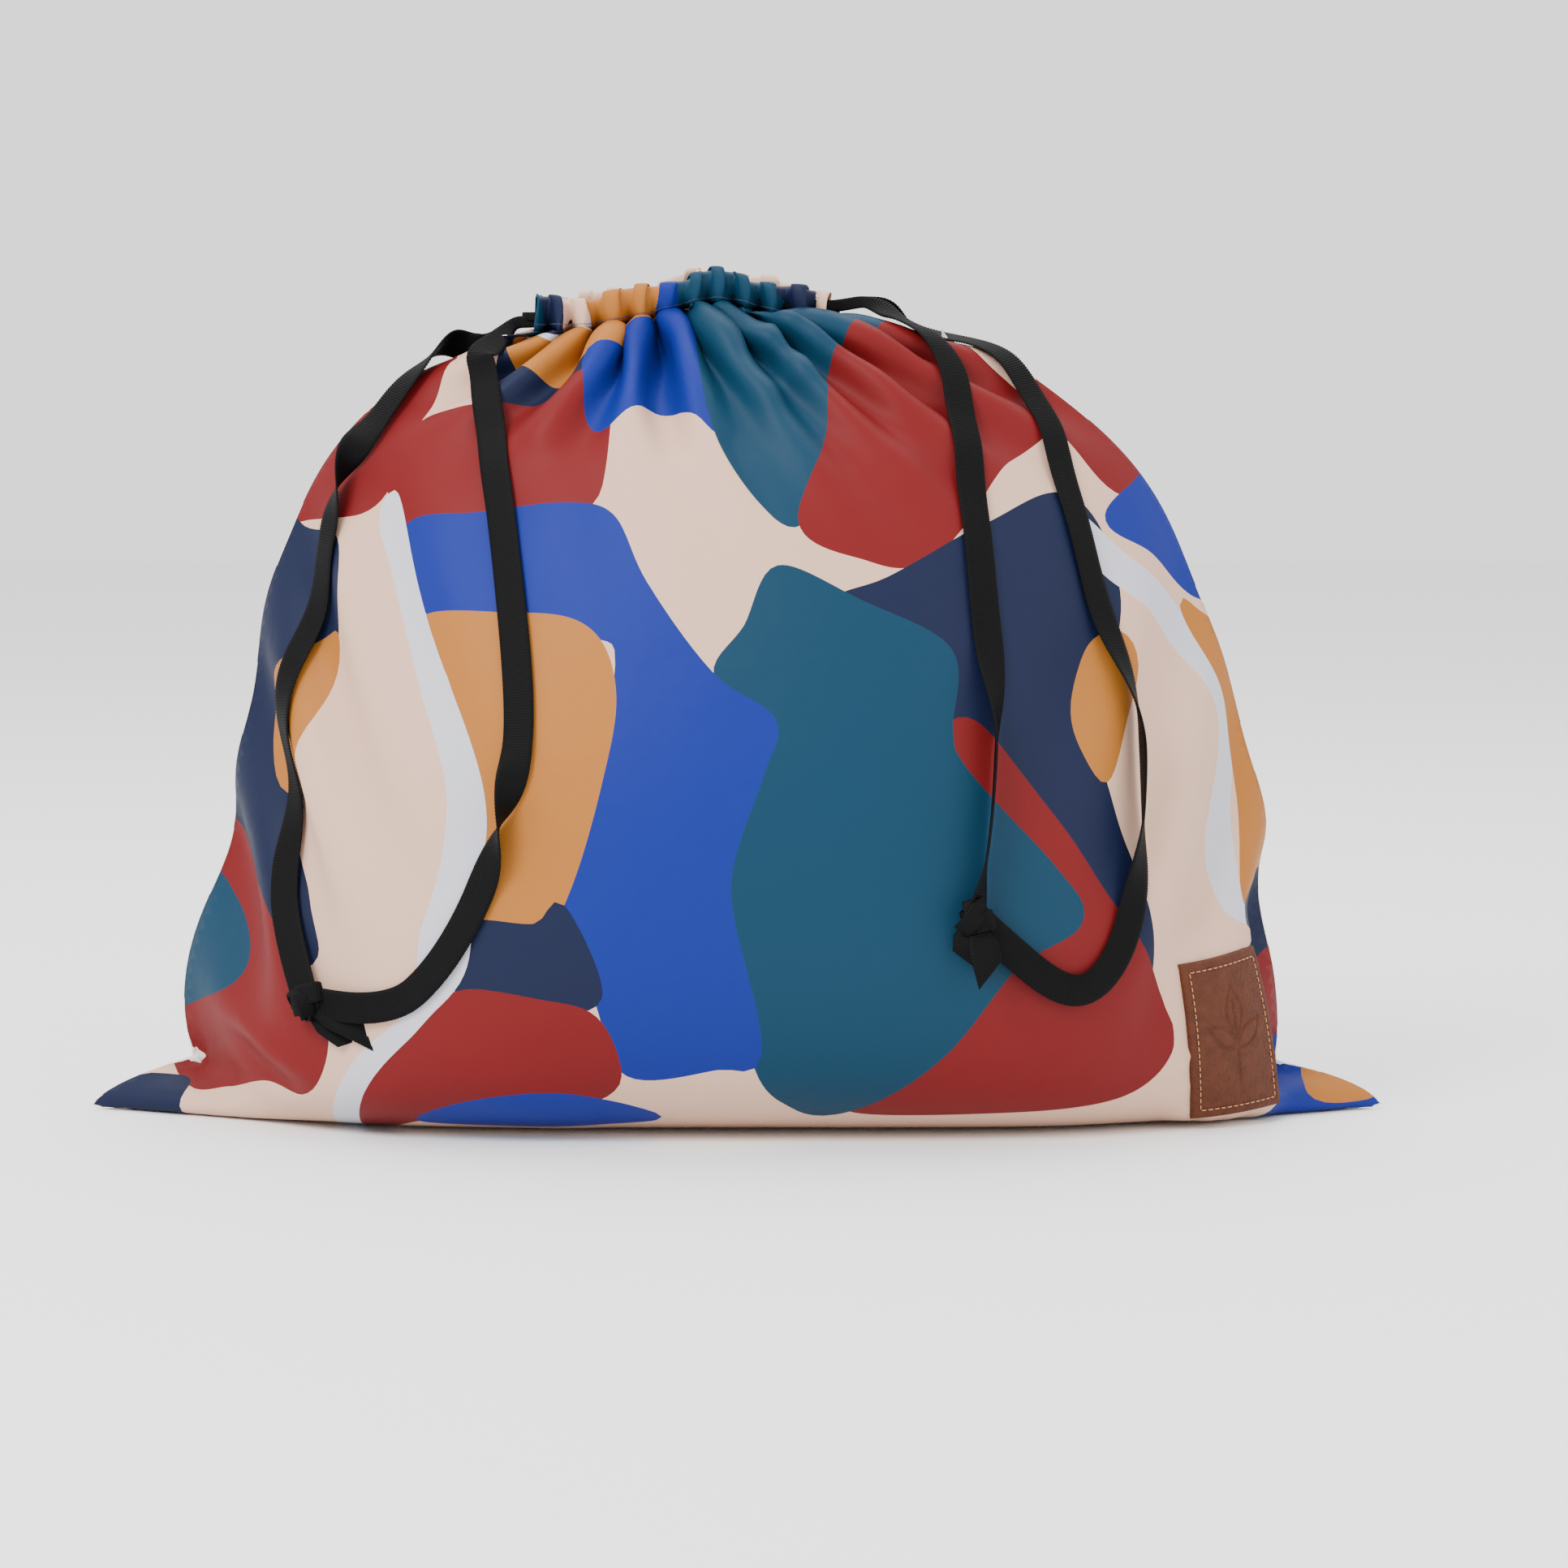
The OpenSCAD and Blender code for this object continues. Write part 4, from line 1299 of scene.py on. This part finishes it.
def make_patch():
    cols, rows = 101, 145
    a, b = np.meshgrid(np.linspace(0, 1, cols), np.linspace(0, 1, rows))
    base, n = patch_surface(a.ravel(), b.ravel())
    upper = base + n * (PATCH_LIFT + patch_relief(a, b).ravel())[:, None]
    lower = base + n * (PATCH_LIFT - 0.0001)
    quads = grid_faces(rows, cols)
    under = quads[:, ::-1] + rows * cols
    index = np.arange(rows * cols).reshape(rows, cols)
    loop = np.concatenate([index[0, :-1], index[:-1, -1], index[-1, :0:-1], index[:0:-1, 0]])
    ahead = np.roll(loop, -1)
    walls = np.stack([ahead, loop, loop + rows * cols, ahead + rows * cols], -1)
    faces = np.concatenate([quads, under, walls])
    obj = mesh_object("leather_label", np.concatenate([upper, lower]), faces, leather_material())
    return fit(obj, "leather_patch")


def make_patch_stitching():
    (wide, high), inset = PATCH_SIZE, PATCH_INSET
    right, top = wide - inset, high - inset
    corners = np.array([(inset, inset), (right, inset), (right, top), (inset, top)])
    bow = np.array([-0.25, 0.1, 0.25, 0.1, -0.25]) * 0.001
    paths = []
    for a, b in zip(corners, np.roll(corners, -1, 0)):
        count = int(round(np.linalg.norm(b - a) / PATCH_PITCH))
        for i in range(count):
            t = (i + np.array([0.12, 0.25, 0.5, 0.75, 0.88])) / count
            place = a + t[:, None] * (b - a)
            base, n = patch_surface(place[:, 0] / wide, place[:, 1] / high)
            paths.append(base + n * (PATCH_LIFT + PATCH_T - 0.00012 + bow)[:, None])
    obj = threads("leather_label_stitches", paths, 0.00034, TAN_THREAD)
    return fit(obj, "patch_stitching")


make_patch()
make_patch_stitching()

# ---------------------------------------------------------------- seams

# Where the side seams' allowances begin and end, their reach inwards from the seam and half their thickness
SEAM_FROM = 0.10
SEAM_REACH = (0.0022, 0.0085)
SEAM_HALF_T = 0.00045
OVERLOCKS = 150
BOTTOM_REACH = (0.0002, 0.0095)
BAR_STITCHES = 16


def seam_frame(cloth, edge, v):
    """Points of a side seam and the directions into the sack and along the seam."""
    j = 0 if edge < 0 else COLS - 1
    rows = v * (ROWS - 1)
    seam = cubic(cloth[0], rows, np.full(len(v), float(j)))
    inner = [cubic(cloth[k], rows, np.full(len(v), j - edge * 2.2)) for k in (0, 1)]
    inward = unit(blur(unit((inner[0] + inner[1]) / 2 - seam), 3))
    return seam, inward, unit(np.gradient(seam, axis=0))


def make_side_seam(edge):
    """Two seam allowances inside the sack, overlocked together; edge is -1 on the left and 1 on the right."""
    v = np.linspace(SEAM_FROM, VENT_V, 200)
    seam, inward, along = seam_frame(cloth, edge, v)
    face = unit(np.cross(inward, along))
    depth = np.linspace(*SEAM_REACH, 8)
    flutter = 0.0005 * np.sin(34 * np.linspace(0, 1, len(v)))[:, None] * (depth / depth[-1])[None, :]
    middle = seam[:, None] + inward[:, None] * depth[None, :, None] + face[:, None] * flutter[..., None]
    half = SEAM_HALF_T * face[:, None]
    strip = tube("strip", np.concatenate([middle + half, (middle - half)[:, ::-1]], axis=1), CLOTH[REVERSE])
    zigzag = []
    for i in np.linspace(2, len(v) - 3, OVERLOCKS).astype(int):
        j = i + 1
        a = middle[i, 4] + face[i] * (SEAM_HALF_T + 0.0002)
        b = middle[j, -1] + inward[j] * 0.0003
        c = middle[j, 4] - face[j] * (SEAM_HALF_T + 0.0002)
        zigzag.append([a, (a + b) / 2 + face[i] * 0.0002, b, (b + c) / 2 - face[i] * 0.0002, c])
    stitches = threads("overlock", zigzag, 0.00022, WHITE_THREAD, sides=5)
    side = "left" if edge < 0 else "right"
    return fit(join(side + "_seam_allowance", [strip, stitches]), side + "_side_seam")


def make_bottom_seam():
    """The bottom seam's allowances, folded back inside on the floor."""
    count = 260
    s = np.linspace(-0.985, 0.985, count)
    x = s * SACK_W / MM / 2
    seam = on_cloth(cloth, FRONT, np.stack([x, np.zeros(count)], -1))
    rows = []
    for depth in np.linspace(*BOTTOM_REACH, 7):
        back = on_cloth(cloth, BACK, np.stack([x, np.full(count, depth / MM)], -1))
        z = back[:, 2] + 0.0008 + 0.0003 * np.sin(90 * s + 200 * depth)
        rows.append(np.stack([seam[:, 0], back[:, 1] + 0.0001, z], -1))
    middle = np.array(rows).transpose(1, 0, 2)
    half = np.array([0, 0, 0.0004])
    rings = np.concatenate([middle + half, (middle - half)[:, ::-1]], axis=1)
    return fit(tube("bottom_seam_allowance", rings, CLOTH[REVERSE]), "bottom_seam")


def make_bartack(edge):
    """A tight block of white thread across the seam at a vent; edge is -1 on the left and 1 on the right."""
    v = np.array([VENT_V - 0.012, VENT_V, VENT_V + 0.012])
    seam = cubic(cloth[0], v * (ROWS - 1), np.full(3, 0.0 if edge < 0 else COLS - 1.0))
    along = unit(seam[2] - seam[0])
    up = unit(np.array([0.0, 0.0, 1.0]) - along[2] * along)
    across = np.cross(along, up)
    t = np.linspace(-1, 1, 5)[:, None]
    paths = []
    for k in range(BAR_STITCHES):
        place = seam[1] + along * (k / (BAR_STITCHES - 1) - 0.5) * 0.006
        way = t if k % 2 else -t
        paths.append(place + along * 0.0002 * way + across * 0.0014 * way + up * (0.0014 - 0.0006 * t * t))
    for k in (-1, 0, 1):
        paths.append(seam[1] + along * 0.0031 * t + across * 0.0007 * k + up * (0.0011 - 0.0003 * t * t))
    side = "left" if edge < 0 else "right"
    obj = threads(side + "_vent_bar_tack", paths, 0.00030, WHITE_THREAD)
    return fit(obj, side + "_vent_bartack")


for edge in (-1, 1):
    make_side_seam(edge)
make_bottom_seam()
for edge in (-1, 1):
    make_bartack(edge)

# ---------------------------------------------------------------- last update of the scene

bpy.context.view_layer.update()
